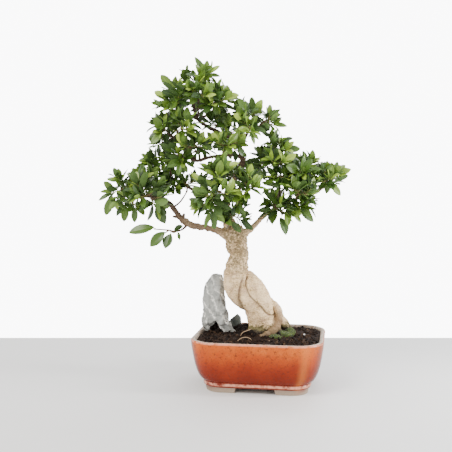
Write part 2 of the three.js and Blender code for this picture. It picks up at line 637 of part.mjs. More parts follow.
// The twig and stems of a spray, bent aside until they clear the wood and the sprays already there.
function growSkeleton([limbName, ...tips], wood, stems, draw) {
  const ends = deepen(tips).map(([x, y, z]) => vec(x, y, z));
  const centre = plainAverage(ends);
  const root = nearestOnLimb(deepen(LIMBS[limbName]), centre);
  const reach = centre.clone().sub(root.point);
  const length = reach.length();
  let skeleton;
  for (let attempt = 0; attempt < TWIG.tries; attempt++) {
    const sway = () => vec(draw() - 0.5, draw() - 0.5, draw() - 0.5).multiplyScalar(attempt * TWIG.sway);
    const woody = Math.max(TWIG.woody, (root.radius + TWIG.least) / length);
    const knee = along(root.point, centre, woody / 2).addScaledVector(UP, -TWIG.bow * length).add(sway());
    const woodEnd = along(root.point, centre, woody).add(sway());
    const heading = woodEnd.clone().sub(knee).normalize();
    const start = woodEnd.clone().addScaledVector(heading, GAP);
    const fork = start.clone().addScaledVector(heading, TWIG.fork * start.distanceTo(centre));
    const twig = [
      [...root.point.toArray(), TWIG.radius],
      [...knee.toArray(), TWIG.radius],
      [...woodEnd.toArray(), TWIG.tip],
    ];
    const trunk = { a: start, b: fork, radius: STEM.radius };
    const arms = ends.map((end) => ({ a: fork, b: end, radius: STEM.radius }));
    skeleton = { start, fork, ends, twig, segments: [trunk, ...arms] };
    const twigSegments = segmentsOf(twig);
    const meetsAny = (some, others) => some.some((a) => others.some((b) => stemsMeet(a, b)));
    const clear =
      !meetsAny(twigSegments, stems) &&
      !meetsAny(skeleton.segments, [...wood, ...stems]) &&
      !meetsAny(arms, twigSegments);
    if (clear) break;
  }
  return skeleton;
}

// A leaf on the stem's triangle a, b, c, turned and shortened until it clears its neighbours.
function growLeaf([a, b, c], axis, spread, length, room, own, draw) {
  const base = along(a, b, 0.5);
  const upward = c.clone().sub(base).normalize();
  const across = b.clone().sub(a).normalize();
  const outward = across.clone().cross(upward);
  for (let attempt = 0; attempt < ROSETTE.tries; attempt++) {
    const jitter = () => (draw() - 0.5) * (LUCK.turn + LUCK.turnStep * attempt);
    const lean = spread + LUCK.lean * jitter();
    const direction = axis
      .clone()
      .multiplyScalar(Math.cos(lean))
      .addScaledVector(outward, Math.sin(lean))
      .addScaledVector(across, jitter())
      .normalize();
    const roll = LUCK.roll * jitter();
    const facing = upward.clone().addScaledVector(UP, LUCK.skyward).addScaledVector(across, roll);
    const size = length * (LUCK.smallest + LUCK.range * draw()) * (1 - LUCK.shrink * attempt);
    const leaf = makeLeaf(base, direction, facing, size);
    const blocked =
      room.leaves.some((other) => leavesCross(leaf, other)) ||
      room.foreign.some((segment) => leafHits(leaf, segment, false)) ||
      own.some((segment) => leafHits(leaf, segment, true));
    if (!blocked) return leaf;
  }
  return null;
}

// A stem to one tip of a spray, with leaves round it and one at its end. The first carries the others.
function growShoot(skeleton, which, length, room, draw) {
  const skin = new Skin();
  const end = skeleton.ends[which];
  const axis = end.clone().sub(skeleton.fork).normalize();
  const shoot = Math.min(ROSETTE.span, 0.8 * end.distanceTo(skeleton.fork));
  const branchFoot = along(skeleton.fork, skeleton.start, STEM.stagger * which);
  const lead = which ? [branchFoot] : [skeleton.start, skeleton.fork];
  const centres = [...lead];
  for (let i = 0; i <= WHORLS.length; i++)
    centres.push(end.clone().addScaledVector(axis, -shoot * (1 - i / WHORLS.length)));
  const frames = framesAlong(centres);
  const first = draw() * 2 * Math.PI;
  const rings = centres.map((centre, i) => {
    const order = Math.max(0, i - lead.length);
    const radius = which && i === 0 ? STEM.foot : blend(STEM.radius, STEM.tip, order / WHORLS.length);
    return skin.add(...ringAt(centre, frames[i], radius, 3, first + order * ROSETTE.twist));
  });
  skin.faces.push([rings[0][0], rings[0][2], rings[0][1]]);
  const heading = axis.clone().addScaledVector(UP, ROSETTE.lift).normalize();
  const place = (triangle, spread, size) => {
    const corners = triangle.map((index) => skin.points[index]);
    const leaf = growLeaf(corners, heading, spread, size, room, skeleton.segments, draw);
    if (leaf) {
      room.leaves.push(leaf);
      skin.leaf(...triangle, leaf);
    } else skin.faces.push(triangle);
  };
  for (let i = 0; i + 1 < rings.length; i++)
    for (let k = 0; k < 3; k++) {
      const next = (k + 1) % 3;
      const lower = [rings[i][k], rings[i][next], rings[i + 1][next]];
      skin.faces.push([rings[i][k], rings[i + 1][next], rings[i + 1][k]]);
      const whorl = WHORLS[i - lead.length];
      if (whorl?.sides.includes(k)) place(lower, whorl.spread, length);
      else skin.faces.push(lower);
    }
  place(rings[rings.length - 1], ROSETTE.crown, ROSETTE.crownSize * length);
  return skin.solid();
}

// A spray, grown again with other leaves where its parts join in a sliver.
function growSpray([, ...tips], skeleton, room, draw) {
  const placed = room.leaves.length;
  for (let attempt = 0; ; attempt++) {
    room.leaves.length = placed;
    const shoots = tips.map(([, , , length], which) => growShoot(skeleton, which, length, room, draw));
    const body = largest(join(shoots));
    if (isSound(body) || attempt === SPRAY_TRIES) return body;
  }
}

function piece(name, body, colour, roughness) {
  const material = new THREE.MeshStandardMaterial({ color: colour, roughness, flatShading: true });
  const mesh = new THREE.Mesh(geometryOf(body), material);
  mesh.name = name;
  return mesh;
}

// The wood, placed before the leaves so that they keep clear of it
const draw = chance(SEED);
const grownRuns = [...Object.values(TRUNK), ...Object.values(ROOTS), ...Object.values(LIMBS).map(deepen)];
const woodSegments = grownRuns.flatMap(segmentsOf);
const skeletons = [];
for (const spray of SPRAYS) {
  const stems = skeletons.flatMap((skeleton) => skeleton.segments);
  const twigs = skeletons.flatMap((skeleton) => segmentsOf(skeleton.twig));
  skeletons.push(growSkeleton(spray, [...woodSegments, ...twigs], stems, draw));
}
const twigSegments = skeletons.flatMap((skeleton) => segmentsOf(skeleton.twig));

const leaves = [];
const sprays = SPRAYS.map((spray, index) => {
  const skeleton = skeletons[index];
  const others = skeletons.filter((other) => other !== skeleton).flatMap((other) => other.segments);
  const foreign = [...woodSegments, ...twigSegments, ...others];
  return growSpray(spray, skeleton, { leaves, foreign }, draw);
});

function woodBodies(extra = 0) {
  const thick = Object.values(TRUNK).map((rows) => run(rows, BARK_SIDES.trunk, extra));
  const roots = Object.values(ROOTS).map((rows) => run(rows, BARK_SIDES.roots, extra));
  return join([...thick, ...roots]);
}

function tree() {
  const limbs = Object.values(LIMBS).map((rows) => run(deepen(rows), BARK_SIDES.limbs));
  const twigs = skeletons.map((skeleton) => run(skeleton.twig, BARK_SIDES.twigs));
  return largest(join([woodBodies(), ...limbs, ...twigs]));
}

const ground = soilMound();
const holes = join([woodBodies(GAP), standingStone(GAP), lump(DARK_STONE, GAP)]);
const mossLump = ([centre, radii], i) => lump({ centre, radii, seed: 20 + i, detail: 1, rough: 0.25 });
const mossBed = join(MOSS.map(mossLump));

const planting = new THREE.Group();
planting.rotation.z = VIEW_TURN;
planting.add(
  piece("soil", largest(ground.subtract(holes)), COLOUR.soil, 0.95),
  piece("tree", tree(), COLOUR.bark, 0.8),
  piece("standing_stone", largest(standingStone()), COLOUR.stone, 0.85),
  piece("dark_stone", lump(DARK_STONE), COLOUR.darkStone, 0.8),
  piece("perlite_grain", lump(GRAIN), COLOUR.perlite, 0.9),
  piece("moss", largest(mossBed.subtract(soilMound(GAP)).subtract(woodBodies(GAP))), COLOUR.moss, 0.95),
);
sprays.forEach((body, i) => {
  planting.add(piece(`spray_${String(i + 1).padStart(2, "0")}`, body, COLOUR.leaf, 0.4));
});

const bonsai = new THREE.Group();
bonsai.add(piece("pot", pot(), COLOUR.glaze, 0.3), planting);

// The origin is under the middle of the whole object's box, on the surface that the feet stand on.
const box = new THREE.Box3().setFromObject(bonsai);
const middle = box.getCenter(vec(0, 0, 0));
bonsai.position.set(-middle.x, -middle.y, -box.min.z);

export default bonsai;
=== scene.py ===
import math
import random

import bmesh
import bpy
import numpy as np
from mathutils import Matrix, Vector, noise


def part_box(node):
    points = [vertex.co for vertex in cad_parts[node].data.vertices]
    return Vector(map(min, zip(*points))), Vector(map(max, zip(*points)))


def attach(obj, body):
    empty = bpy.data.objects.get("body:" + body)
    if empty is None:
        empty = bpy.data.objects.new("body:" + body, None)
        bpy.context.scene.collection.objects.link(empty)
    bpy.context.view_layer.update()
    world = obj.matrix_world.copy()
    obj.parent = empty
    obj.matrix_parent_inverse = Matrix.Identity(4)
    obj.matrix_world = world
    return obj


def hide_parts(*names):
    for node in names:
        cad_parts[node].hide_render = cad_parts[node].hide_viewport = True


# A Chinese banyan bonsai: swollen trunk, bare limbs and glossy leaves, beside a stone in a glazed pot.
# Sizes are millimetres in the planting's own frame: x to the right, y away and z up, from under the middle
# of the pot. Placing a piece turns it to its angle in the pot and brings it to metres.

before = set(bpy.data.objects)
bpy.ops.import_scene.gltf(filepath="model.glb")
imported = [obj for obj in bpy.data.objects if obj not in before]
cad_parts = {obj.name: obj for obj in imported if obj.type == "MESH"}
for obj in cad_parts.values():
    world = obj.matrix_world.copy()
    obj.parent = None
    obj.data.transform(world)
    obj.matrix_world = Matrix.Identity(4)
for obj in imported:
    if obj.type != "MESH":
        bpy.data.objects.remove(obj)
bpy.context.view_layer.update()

MM = 0.001
SEED = 4211
UP = np.array([0.0, 0.0, 1.0])
VIEW_TURN = math.radians(9.2)  # the planting's turn against the pot
POT_LOW, POT_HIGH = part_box("pot")
POT_MIDDLE = np.array([(POT_LOW.x + POT_HIGH.x) / 2, (POT_LOW.y + POT_HIGH.y) / 2, 0.0])


# Places and directions
def in_pot(points):
    """Points of the pot in the frame."""
    return np.asarray(points, float) * MM + POT_MIDDLE


def in_planting(points):
    """Points of the planting in the frame."""
    cos, sin = math.cos(VIEW_TURN), math.sin(VIEW_TURN)
    turn = np.array([[cos, sin, 0], [-sin, cos, 0], [0, 0, 1]])
    return in_pot(np.asarray(points, float) @ turn)


def unit(vector):
    return vector / np.linalg.norm(vector, axis=-1, keepdims=True)


def blend(a, b, t):
    return a + (b - a) * t


def ramp(value, low, high):
    """0 below low, 1 above high, and smooth between."""
    t = np.clip((value - low) / (high - low), 0, 1)
    return t * t * (3 - 2 * t)


def noise_at(points, size, seed=0.0):
    """Smooth noise from -1 to 1 whose lumps are about the given size."""
    shift = Vector((seed * 17.3, seed * 5.1, -seed * 9.7))
    return np.array([noise.noise(Vector(p) / size + shift) for p in np.asarray(points).tolist()])


def crumple_at(points, size, octaves, seed=0.0):
    """Noise with finer noise on it."""
    total = np.zeros(len(points))
    for octave in range(octaves):
        total += noise_at(points, size / 2**octave, seed + octave) / 2**octave
    return total


# Meshes
class Body:
    """Points and faces under way, with a number for each point under each name given."""

    def __init__(self):
        self.points = []
        self.faces = []
        self.slots = []
        self.notes = {}
        self.count = 0

    def add(self, points, faces, slot=0, **notes):
        points = np.asarray(points, float)
        self.points.append(points)
        self.faces += [tuple(corner + self.count for corner in face) for face in faces]
        self.slots += [slot] * len(faces) if isinstance(slot, int) else list(slot)
        for name, values in notes.items():
            self.notes.setdefault(name, []).append(np.broadcast_to(values, (len(points),)).astype(float))
        self.count += len(points)

    def mesh(self, name, place=None):
        points = np.concatenate(self.points)
        mesh = bpy.data.meshes.new(name)
        mesh.from_pydata((place(points) if place else points).tolist(), [], self.faces)
        mesh.polygons.foreach_set("material_index", self.slots)
        for note, values in self.notes.items():
            attribute = mesh.attributes.new(note, "FLOAT", "POINT")
            attribute.data.foreach_set("value", np.concatenate(values))
        return mesh


def piece(name, mesh, materials, slot, *nodes, sharp=50):
    """A piece of the visible plant or pot, which stands for the CAD nodes given."""
    for material in materials:
        mesh.materials.append(material)
    mesh.polygons.foreach_set("use_smooth", [True] * len(mesh.polygons))
    mesh.set_sharp_from_angle(angle=math.radians(sharp))
    mesh.validate()
    made = bpy.data.objects.new(name, mesh)
    bpy.context.scene.collection.objects.link(made)
    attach(made, "root")
    if nodes:
        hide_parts(*nodes)
    return made


def points_of(mesh):
    points = np.empty(len(mesh.vertices) * 3)
    mesh.vertices.foreach_get("co", points)
    return points.reshape(-1, 3)


def normals_of(mesh):
    normals = np.empty(len(mesh.vertices) * 3)
    mesh.vertex_normals.foreach_get("vector", normals)
    return normals.reshape(-1, 3)


def set_points(mesh, points):
    mesh.vertices.foreach_set("co", np.asarray(points).ravel())
    mesh.update()


def note(mesh, name, values):
    mesh.attributes.new(name, "FLOAT", "POINT").data.foreach_set("value", values)


def made_through(mesh, build):
    """The mesh as it comes out of the modifiers that build adds."""
    carrier = bpy.data.objects.new("carrier", mesh)
    bpy.context.scene.collection.objects.link(carrier)
    build(carrier)
    graph = bpy.context.evaluated_depsgraph_get()
    result = bpy.data.meshes.new_from_object(carrier.evaluated_get(graph))
    bpy.data.objects.remove(carrier)
    return result


SKIN_SQUARES = {"wood": 1.25, "stone": 1.05, "dark_stone": 0.8, "moss": 0.9}


def remeshed(mesh, size):
    """One closed skin round all the bodies in the mesh, in squares of the given size."""

    def build(carrier):
        modifier = carrier.modifiers.new("skin", "REMESH")
        modifier.mode = "VOXEL"
        modifier.voxel_size = size

    return made_through(mesh, build)


def joined(mesh, other, operation):
    tool = bpy.data.objects.new("tool", other)
    bpy.context.scene.collection.objects.link(tool)

    def build(carrier):
        modifier = carrier.modifiers.new("join", "BOOLEAN")
        modifier.operation = operation
        modifier.solver = "EXACT"
        modifier.use_self = True
        modifier.object = tool

    result = made_through(mesh, build)
    bpy.data.objects.remove(tool)
    return result


def relaxed(mesh, rounds):
    """Moves each point halfway to the middle of its neighbours, in each round."""
    edges = np.empty(len(mesh.edges) * 2, int)
    mesh.edges.foreach_get("vertices", edges)
    a, b = edges.reshape(-1, 2).T
    points = points_of(mesh)
    count = np.maximum(1, np.bincount(np.concatenate([a, b]), minlength=len(points)))
    for _ in range(rounds):
        middle = np.empty_like(points)
        for k in range(3):
            total = np.bincount(a, points[b, k], len(points)) + np.bincount(b, points[a, k], len(points))
            middle[:, k] = total / count
        points = blend(points, middle, 0.5)
    set_points(mesh, points)


def smooth_run(rows, steps):
    """Rows of numbers with a smooth curve through them, in the given steps from one to the next."""
    rows = np.asarray(rows, float)
    before = np.vstack([2 * rows[0] - rows[1], rows[:-1]])
    after = np.vstack([rows[1:], 2 * rows[-1] - rows[-2]])
    slopes = (after - before) / 2
    curve = []
    for i in range(len(rows) - 1):
        for t in np.arange(steps) / steps:
            square, cube = t * t, t * t * t
            curve.append(
                (2 * cube - 3 * square + 1) * rows[i]
                + (cube - 2 * square + t) * slopes[i]
                + (3 * square - 2 * cube) * rows[i + 1]
                + (cube - square) * slopes[i + 1]
            )
    return np.array(curve + [rows[-1]])


def frames_along(points):
    """Two directions across a run at each of its points, turned as little as they can be on the way."""
    steps = np.gradient(points, axis=0)
    axes = unit(steps)
    helper = UP if abs(axes[0] @ UP) < 0.9 else np.array([1.0, 0, 0])
    u = unit(np.cross(helper, axes[0]))
    across = []
    for axis in axes:
        u = unit(u - axis * (u @ axis))
        across.append((u, np.cross(axis, u)))
    return across


def loft_faces(rings, sides):
    """Faces round a stack of rings, closed at both ends."""
    faces = []
    for r in range(rings - 1):
        for i in range(sides):
            a, b = r * sides + i, r * sides + (i + 1) % sides
            faces.append((a, b, b + sides, a + sides))
    last = (rings - 1) * sides
    return faces + [tuple(range(sides - 1, -1, -1)), tuple(last + i for i in range(sides))]


CAP_TURNS = (0.7, 1.3)  # where the two rings of a round end lie, in radians from its rim


def tube(rows, sides):
    """A tapering round run through rows of x, y, z, radius, with round ends."""
    rows = np.asarray(rows, float)
    centres, radii = rows[:, :3], rows[:, 3]
    turns = 2 * math.pi * np.arange(sides) / sides
    frames = frames_along(centres)

    def cap(at, way):
        rise = np.cross(*frames[at]) * way * radii[at]
        return [(at, centres[at] + rise * math.sin(t), radii[at] * math.cos(t)) for t in CAP_TURNS]

    last = len(rows) - 1
    rings = []
    for i, centre, radius in [*reversed(cap(0, -1)), *zip(range(len(rows)), centres, radii), *cap(last, 1)]:
        u, v = frames[i]
        rings.append(centre + radius * (np.outer(np.cos(turns), u) + np.outer(np.sin(turns), v)))
    return np.concatenate(rings), loft_faces(len(rings), sides)


# Finishes
class Value:
    """A shader socket. An expression on it adds the nodes that work it out."""

    def __init__(self, finish, socket):
        self.finish = finish
        self.socket = socket

    def maths(self, operation, *terms):
        kind = "ShaderNodeMath" if self.socket.type == "VALUE" else "ShaderNodeVectorMath"
        return self.finish.node(kind, {"operation": operation}, dict(enumerate(terms)))

    def __add__(self, other):
        return self.maths("ADD", self, other)

    __radd__ = __add__

    def __sub__(self, other):
        return self.maths("SUBTRACT", self, other)

    def __rsub__(self, other):
        return self.maths("SUBTRACT", other, self)

    def __mul__(self, other):
        return self.maths("MULTIPLY", self, other)

    __rmul__ = __mul__

    def __truediv__(self, other):
        return self.maths("DIVIDE", self, other)

    def fraction(self):
        return self.maths("FRACT", self)

    def absolute(self):
        return self.maths("ABSOLUTE", self)

    def part(self, axis):
        return self.finish.node("ShaderNodeSeparateXYZ", {}, {0: self}, "XYZ".index(axis))

    def ramp(self, low, high, to_low=0.0, to_high=1.0):
        """The value from low to high, smoothly, as a value from to_low to to_high."""
        settings = {"interpolation_type": "SMOOTHSTEP"}
        sockets = {"Value": self, "From Min": low, "From Max": high, "To Min": to_low, "To Max": to_high}
        return self.finish.node("ShaderNodeMapRange", settings, sockets)

    def colours(self, *stops):
        """The value as a colour that runs through stops of place and colour."""
        return self.finish.node("ShaderNodeValToRGB", {"stops": stops}, {"Fac": self})


class Finish:
    """A material under way."""

    def __init__(self, name, **constants):
        self.material = bpy.data.materials.new(name)
        self.material.use_nodes = True
        self.tree = self.material.node_tree
        self.shader = self.tree.nodes["Principled BSDF"]
        for socket, value in constants.items():
            self.shader.inputs[socket.replace("_", " ")].default_value = value
        self.place = self.node("ShaderNodeTexCoord", {}, {}, "Object")

    def node(self, kind, settings, sockets, output=0):
        made = self.tree.nodes.new(kind)
        for name, value in settings.items():
            if name == "stops":
                self.set_stops(made.color_ramp, value)
            else:
                setattr(made, name, value)
        for name, value in sockets.items():
            self.feed(made.inputs[name], value)
        return Value(self, made.outputs[output])

    def set_stops(self, colour_ramp, stops):
        while len(colour_ramp.elements) < len(stops):
            colour_ramp.elements.new(1)
        for element, (at, colour) in zip(colour_ramp.elements, stops):
            element.position = at
            element.color = (*colour, 1)

    def feed(self, socket, value):
        if isinstance(value, Value):
            self.tree.links.new(value.socket, socket)
        elif socket.type == "RGBA" and len(value) == 3:
            socket.default_value = (*value, 1)
        elif socket.type == "VECTOR" and isinstance(value, (int, float)):
            socket.default_value = (value,) * 3
        else:
            socket.default_value = value

    def set(self, **sockets):
        for name, value in sockets.items():
            self.feed(self.shader.inputs[name.replace("_", " ")], value)
        return self

    def attribute(self, name):
        return self.node("ShaderNodeAttribute", {"attribute_name": name}, {}, "Fac")

    def stretched(self, stretch):
        return self.place * stretch if stretch else self.place

    def noise(self, size, detail=3.0, roughness=0.55, stretch=None):
        """Cloudy noise with lumps of about the given size in millimetres."""
        sockets = {"Vector": self.stretched(stretch), "Scale": 1 / (size * MM)}
        sockets.update({"Detail": detail, "Roughness": roughness})
        return self.node("ShaderNodeTexNoise", {}, sockets)

    def cells(self, size, stretch=None):
        """Distance from the middle of the nearest of many cells of about the given size."""
        sockets = {"Vector": self.stretched(stretch), "Scale": 1 / (size * MM)}
        return self.node("ShaderNodeTexVoronoi", {}, sockets, "Distance")

    def mix(self, share, first, second):
        return self.node("ShaderNodeMix", {"data_type": "RGBA"}, {0: share, 6: first, 7: second}, 2)

    def bump(self, height, depth, strength=1.0):
        """Low relief of the given depth in millimetres."""
        sockets = {"Height": height, "Distance": depth * MM, "Strength": strength}
        self.set(Normal=self.node("ShaderNodeBump", {}, sockets))
        return self


def glaze_finish():
    """Mottled orange glaze, redder towards the foot, worn pale on the lip and bare clay on the feet. Paler
    glaze over the bead and below the lip, partly a painted highlight; a painted highlight down the right-hand
    corners; painted shade on the end walls.
    """
    finish = Finish("glaze", Coat_Weight=0.15, Coat_Roughness=0.12, Specular_IOR_Level=0.12)
    height = finish.place.part("Z") / MM
    cloud = finish.noise(38, 4, 0.6)
    speckle = finish.noise(5.5, 5, 0.8)
    fine = finish.noise(1.6, 3, 0.7)
    tone = height.ramp(12, 98) * 0.85 + (cloud - 0.5) * 0.55 + (speckle - 0.5) * 0.6
    glaze = tone.colours(
        (0.0, (0.150, 0.010, 0.001)),
        (0.35, (0.260, 0.024, 0.002)),
        (0.65, (0.420, 0.058, 0.003)),
        (1.0, (0.620, 0.135, 0.010)),
    )
    glaze = finish.mix(speckle.ramp(0.52, 0.62) * 0.8, glaze, (0.085, 0.010, 0.003))
    glaze = finish.mix(fine.ramp(0.57, 0.67) * 0.5, glaze, (0.060, 0.010, 0.005))
    bloom = cloud.ramp(0.50, 0.70) * speckle.ramp(0.50, 0.38) * height.ramp(35, 75) * 0.5
    glaze = finish.mix(bloom, glaze, (0.60, 0.170, 0.035))
    # painted highlight: a pale band down the right-hand corners, where the lamps leave no reflection
    glaze = finish.mix(finish.attribute("corner") * 0.3, glaze, (0.80, 0.250, 0.045))
    # painted shade: the end walls darkened as if turned away from the light
    glaze = finish.mix(finish.attribute("end") * 0.65, glaze, (0.105, 0.034, 0.022))
    lip = finish.attribute("lip")
    worn = (lip + (finish.noise(6, 4, 0.7) - 0.5) * 0.5).ramp(0.35, 0.65)
    cream = finish.mix(finish.noise(5, 4, 0.7).ramp(0.35, 0.65), (0.25, 0.17, 0.12), (0.47, 0.42, 0.35))
    glaze = finish.mix(worn, glaze, cream)
    # paler glaze breaking over the bead and below the lip, with a painted highlight on them
    glaze_break_and_highlight = finish.attribute("edge") * finish.noise(9, 3, 0.6).ramp(0.25, 0.6)
    glaze = finish.mix(glaze_break_and_highlight * 0.85, glaze, (0.80, 0.36, 0.24))
    clay = finish.mix(finish.noise(3, 4, 0.7), (0.27, 0.20, 0.145), (0.46, 0.37, 0.28))
    bare = finish.attribute("bare")
    finish.set(Base_Color=finish.mix(bare, glaze, clay))
    matt = worn * 0.3 + bare * 0.6
    finish.set(Roughness=0.2 + matt + speckle * 0.12)
    return finish.bump(cloud * 0.4 + speckle * 0.4 + bare * fine, 0.15, 0.4).material


def soil_finish():
    """Damp, crumbly, dark brown potting mix."""
    finish = Finish("soil", Specular_IOR_Level=0.15)
    crumb = finish.noise(3.2, 5, 0.7)
    tone = crumb * 0.6 + finish.noise(14, 3) * 0.5 + (finish.attribute("tone") - 0.5) * 0.6
    colour = tone.colours(
        (0.2, (0.0035, 0.0018, 0.0012)),
        (0.5, (0.011, 0.0055, 0.0035)),
        (0.75, (0.030, 0.016, 0.009)),
        (1.0, (0.100, 0.060, 0.034)),
    )
    finish.set(Base_Color=colour, Roughness=0.72 + crumb * 0.25)
    return finish.bump(crumb + finish.noise(0.9, 3, 0.7) * 0.4, 0.7).material


def bark_finish():
    """Beige bark with painted shade in its creases, rough and brown high up, green and earthy at the foot."""
    finish = Finish("bark", Specular_IOR_Level=0.3)
    height = finish.place.part("Z") / MM
    grain = finish.noise(3.0, 5, 0.75, stretch=(1, 1, 2.2))
    cloud = finish.noise(20, 4, 0.6)
    rings = finish.noise(3.4, 4, 0.7, stretch=(0.45, 0.45, 2.4))
    tone = (cloud - 0.5) * 1.2 + (grain - 0.5) * 2.0 + (rings - 0.5) * 0.8 + 0.67
    trunk = tone.colours(
        (0.20, (0.150, 0.090, 0.042)),
        (0.42, (0.370, 0.245, 0.118)),
        (0.58, (0.740, 0.500, 0.255)),
        (0.80, (0.970, 0.730, 0.430)),
    )
    pink = finish.noise(11, 3, 0.6).ramp(0.5, 0.68) * 0.4
    trunk = finish.mix(pink, trunk, (0.44, 0.27, 0.20))
    fibre = finish.noise(2.2, 3, 0.7, stretch=(0.35, 0.35, 2.6)).ramp(0.56, 0.66) * height.ramp(150, 215)
    trunk = finish.mix(fibre * 0.5, trunk, (0.16, 0.10, 0.055))
    rough = finish.attribute("rough")
    warts = finish.cells(3.4, stretch=(0.8, 0.8, 1.4)).ramp(0.28, 0.05)
    spots = (warts * finish.noise(9, 3, 0.6).ramp(0.42, 0.6)).ramp(0.2, 0.8)
    trunk = finish.mix(spots * (0.3 + rough * 0.6), trunk, (0.095, 0.058, 0.030))
    brown = finish.noise(5, 5, 0.75).ramp(0.42, 0.54) * (rough - 0.1) * 0.95
    trunk = finish.mix(brown, trunk, (0.165, 0.120, 0.052))
    # painted shade in the creases and hollows of the wood
    crease = finish.attribute("crease") * finish.noise(6, 4, 0.7).ramp(0.3, 0.55, 0.5, 1.0)
    trunk = finish.mix(crease * 0.8, trunk, (0.085, 0.055, 0.038))
    root = finish.attribute("root")
    trunk = finish.mix(root * 0.85, trunk, (0.170, 0.092, 0.036))
    low = (height.ramp(128, 103) + (finish.noise(7, 4, 0.75) - 0.5) * 2.2).ramp(0.35, 0.75) * (1 - root * 0.6)
    trunk = finish.mix(low * 0.9, trunk, (0.065, 0.060, 0.014))
    earth = (height.ramp(115, 100) + (finish.noise(5, 4, 0.75) - 0.5) * 2).ramp(0.4, 0.75) * (1 - root * 0.6)
    trunk = finish.mix(earth * 0.9, trunk, (0.022, 0.015, 0.009))
    thin = finish.attribute("thin")
    twig = (grain * 0.6 + cloud * 0.5).colours(
        (0.35, (0.060, 0.036, 0.023)),
        (0.60, (0.145, 0.092, 0.058)),
        (0.85, (0.270, 0.190, 0.125)),
    )
    finish.set(Base_Color=finish.mix(thin, trunk, twig), Roughness=0.66 + grain * 0.2)
    relief = rings * 0.9 + grain * 0.6 + warts * (0.3 + rough * 0.9) - fibre * 0.6
    return finish.bump(relief, 0.8, 0.9).material


def stem_finish():
    """Young twigs: brown where they leave the wood, and green towards the tip."""
    finish = Finish("green_stem", Specular_IOR_Level=0.4)
    grain = finish.noise(1.6, 4, 0.6)
    colour = (finish.attribute("young") + (grain - 0.5) * 0.3).colours(
        (0.0, (0.095, 0.056, 0.034)),
        (0.35, (0.170, 0.095, 0.050)),
        (0.65, (0.170, 0.155, 0.045)),
        (1.0, (0.250, 0.310, 0.070)),
    )
    finish.set(Base_Color=colour, Roughness=0.5 + grain * 0.2)
    return finish.bump(grain, 0.15).material


def leaf_finish(name, upper):
    """Waxy leaf: a pale midrib, faint side veins, dark when old and bright yellow-green when young."""
    finish = Finish(name, Specular_IOR_Level=0.3, Coat_Weight=0.18 if upper else 0.0, Coat_Roughness=0.22)
    across = finish.attribute("across")
    length = finish.attribute("length")
    youth = finish.attribute("youth")
    tone = finish.attribute("tone")
    cloud = finish.noise(9, 3, 0.6)
    if upper:
        old = (tone * 0.75 + cloud * 0.35).colours(
            (0.1, (0.016, 0.038, 0.008)),
            (0.45, (0.036, 0.082, 0.012)),
            (0.75, (0.074, 0.146, 0.018)),
            (1.0, (0.130, 0.225, 0.028)),
        )
        new = (tone * 0.8 + cloud * 0.2).colours(
            (0.1, (0.150, 0.270, 0.025)),
            (0.6, (0.290, 0.430, 0.045)),
            (1.0, (0.430, 0.560, 0.085)),
        )
    else:
        old = (tone * 0.7 + cloud * 0.3).colours(
            (0.1, (0.045, 0.090, 0.022)),
            (1.0, (0.110, 0.190, 0.045)),
        )
        new = (tone * 0.8 + cloud * 0.2).colours(
            (0.1, (0.140, 0.260, 0.035)),
            (1.0, (0.280, 0.420, 0.080)),
        )
    blade = finish.mix(youth, old, new)
    midrib = (across * across).ramp(0.012, 0.0)
    wave = (length * 9 - across.absolute() * 2.2 + 5).fraction() - 0.5
    veins = (wave * wave * 4).ramp(0.72, 1.0) * (1 - midrib)
    pale = finish.mix(youth, (0.085, 0.160, 0.025), (0.36, 0.50, 0.11))
    blade = finish.mix(midrib * 0.55 + veins * 0.14, blade, pale)
    finish.set(Base_Color=blade, Roughness=(0.30 if upper else 0.55) + cloud * 0.14 + youth * 0.08)
    return finish.bump(veins * -0.6 - midrib + cloud * 0.5, 0.16, 0.7).material


def stone_finish(name, dark, middle, pale, streak):
    """Rough stone in three tones, pitted, with slanted streaks of a fourth, and painted shade in its pits and
    hollows.
    """
    finish = Finish(name, Specular_IOR_Level=0.3)
    rough = finish.noise(7, 6, 0.7)
    fine = finish.noise(1.3, 4, 0.7)
    tone = rough * 0.65 + finish.noise(24, 3, 0.6) * 0.45
    base = tone.colours((0.30, dark), (0.52, middle), (0.74, pale))
    slant = finish.place.part("X") / MM * 0.042 + finish.place.part("Z") / MM * 0.030
    wave = (slant + finish.noise(24, 5, 0.65) * 1.5).fraction() - 0.5
    seam = (wave * wave).ramp(0.022, 0.0) * finish.noise(11, 6, 0.8).ramp(0.42, 0.56)
    base = finish.mix(seam * 0.9, base, streak)
    pits = finish.cells(2.6).ramp(0.16, 0.03) * rough.ramp(0.4, 0.6)
    # painted shade in the pits
    base = finish.mix(pits * 0.5, base, dark)
    # painted shade in the hollows of the chiselled relief
    base = finish.mix(finish.attribute("crease") * 0.75, base, dark)
    finish.set(Base_Color=base, Roughness=0.72 + fine * 0.22)
    return finish.bump(rough * 0.8 + fine * 0.35 - pits * 0.4, 0.9, 0.8).material


def moss_finish():
    """Matt moss that runs from brown to bright green."""
    finish = Finish("moss", Specular_IOR_Level=0.2, Sheen_Weight=0.3)
    tone = finish.noise(5, 4, 0.6) * 0.6 + finish.attribute("tone") * 0.5
    colour = tone.colours(
        (0.2, (0.010, 0.010, 0.003)),
        (0.5, (0.042, 0.066, 0.005)),
        (0.8, (0.190, 0.290, 0.018)),
    )
    finish.set(Base_Color=colour, Roughness=0.85)
    return finish.bump(finish.noise(0.8, 3, 0.7), 0.5).material


def plain_finish(name, colour, roughness, grain=0.0):
    finish = Finish(name)
    cloud = finish.noise(90, 3)
    shade = finish.mix(cloud, tuple(c * 0.97 for c in colour), colour)
    finish.set(Base_Color=shade, Roughness=cloud * 0.05 + roughness)
    return finish.bump(finish.noise(1.5), grain).material


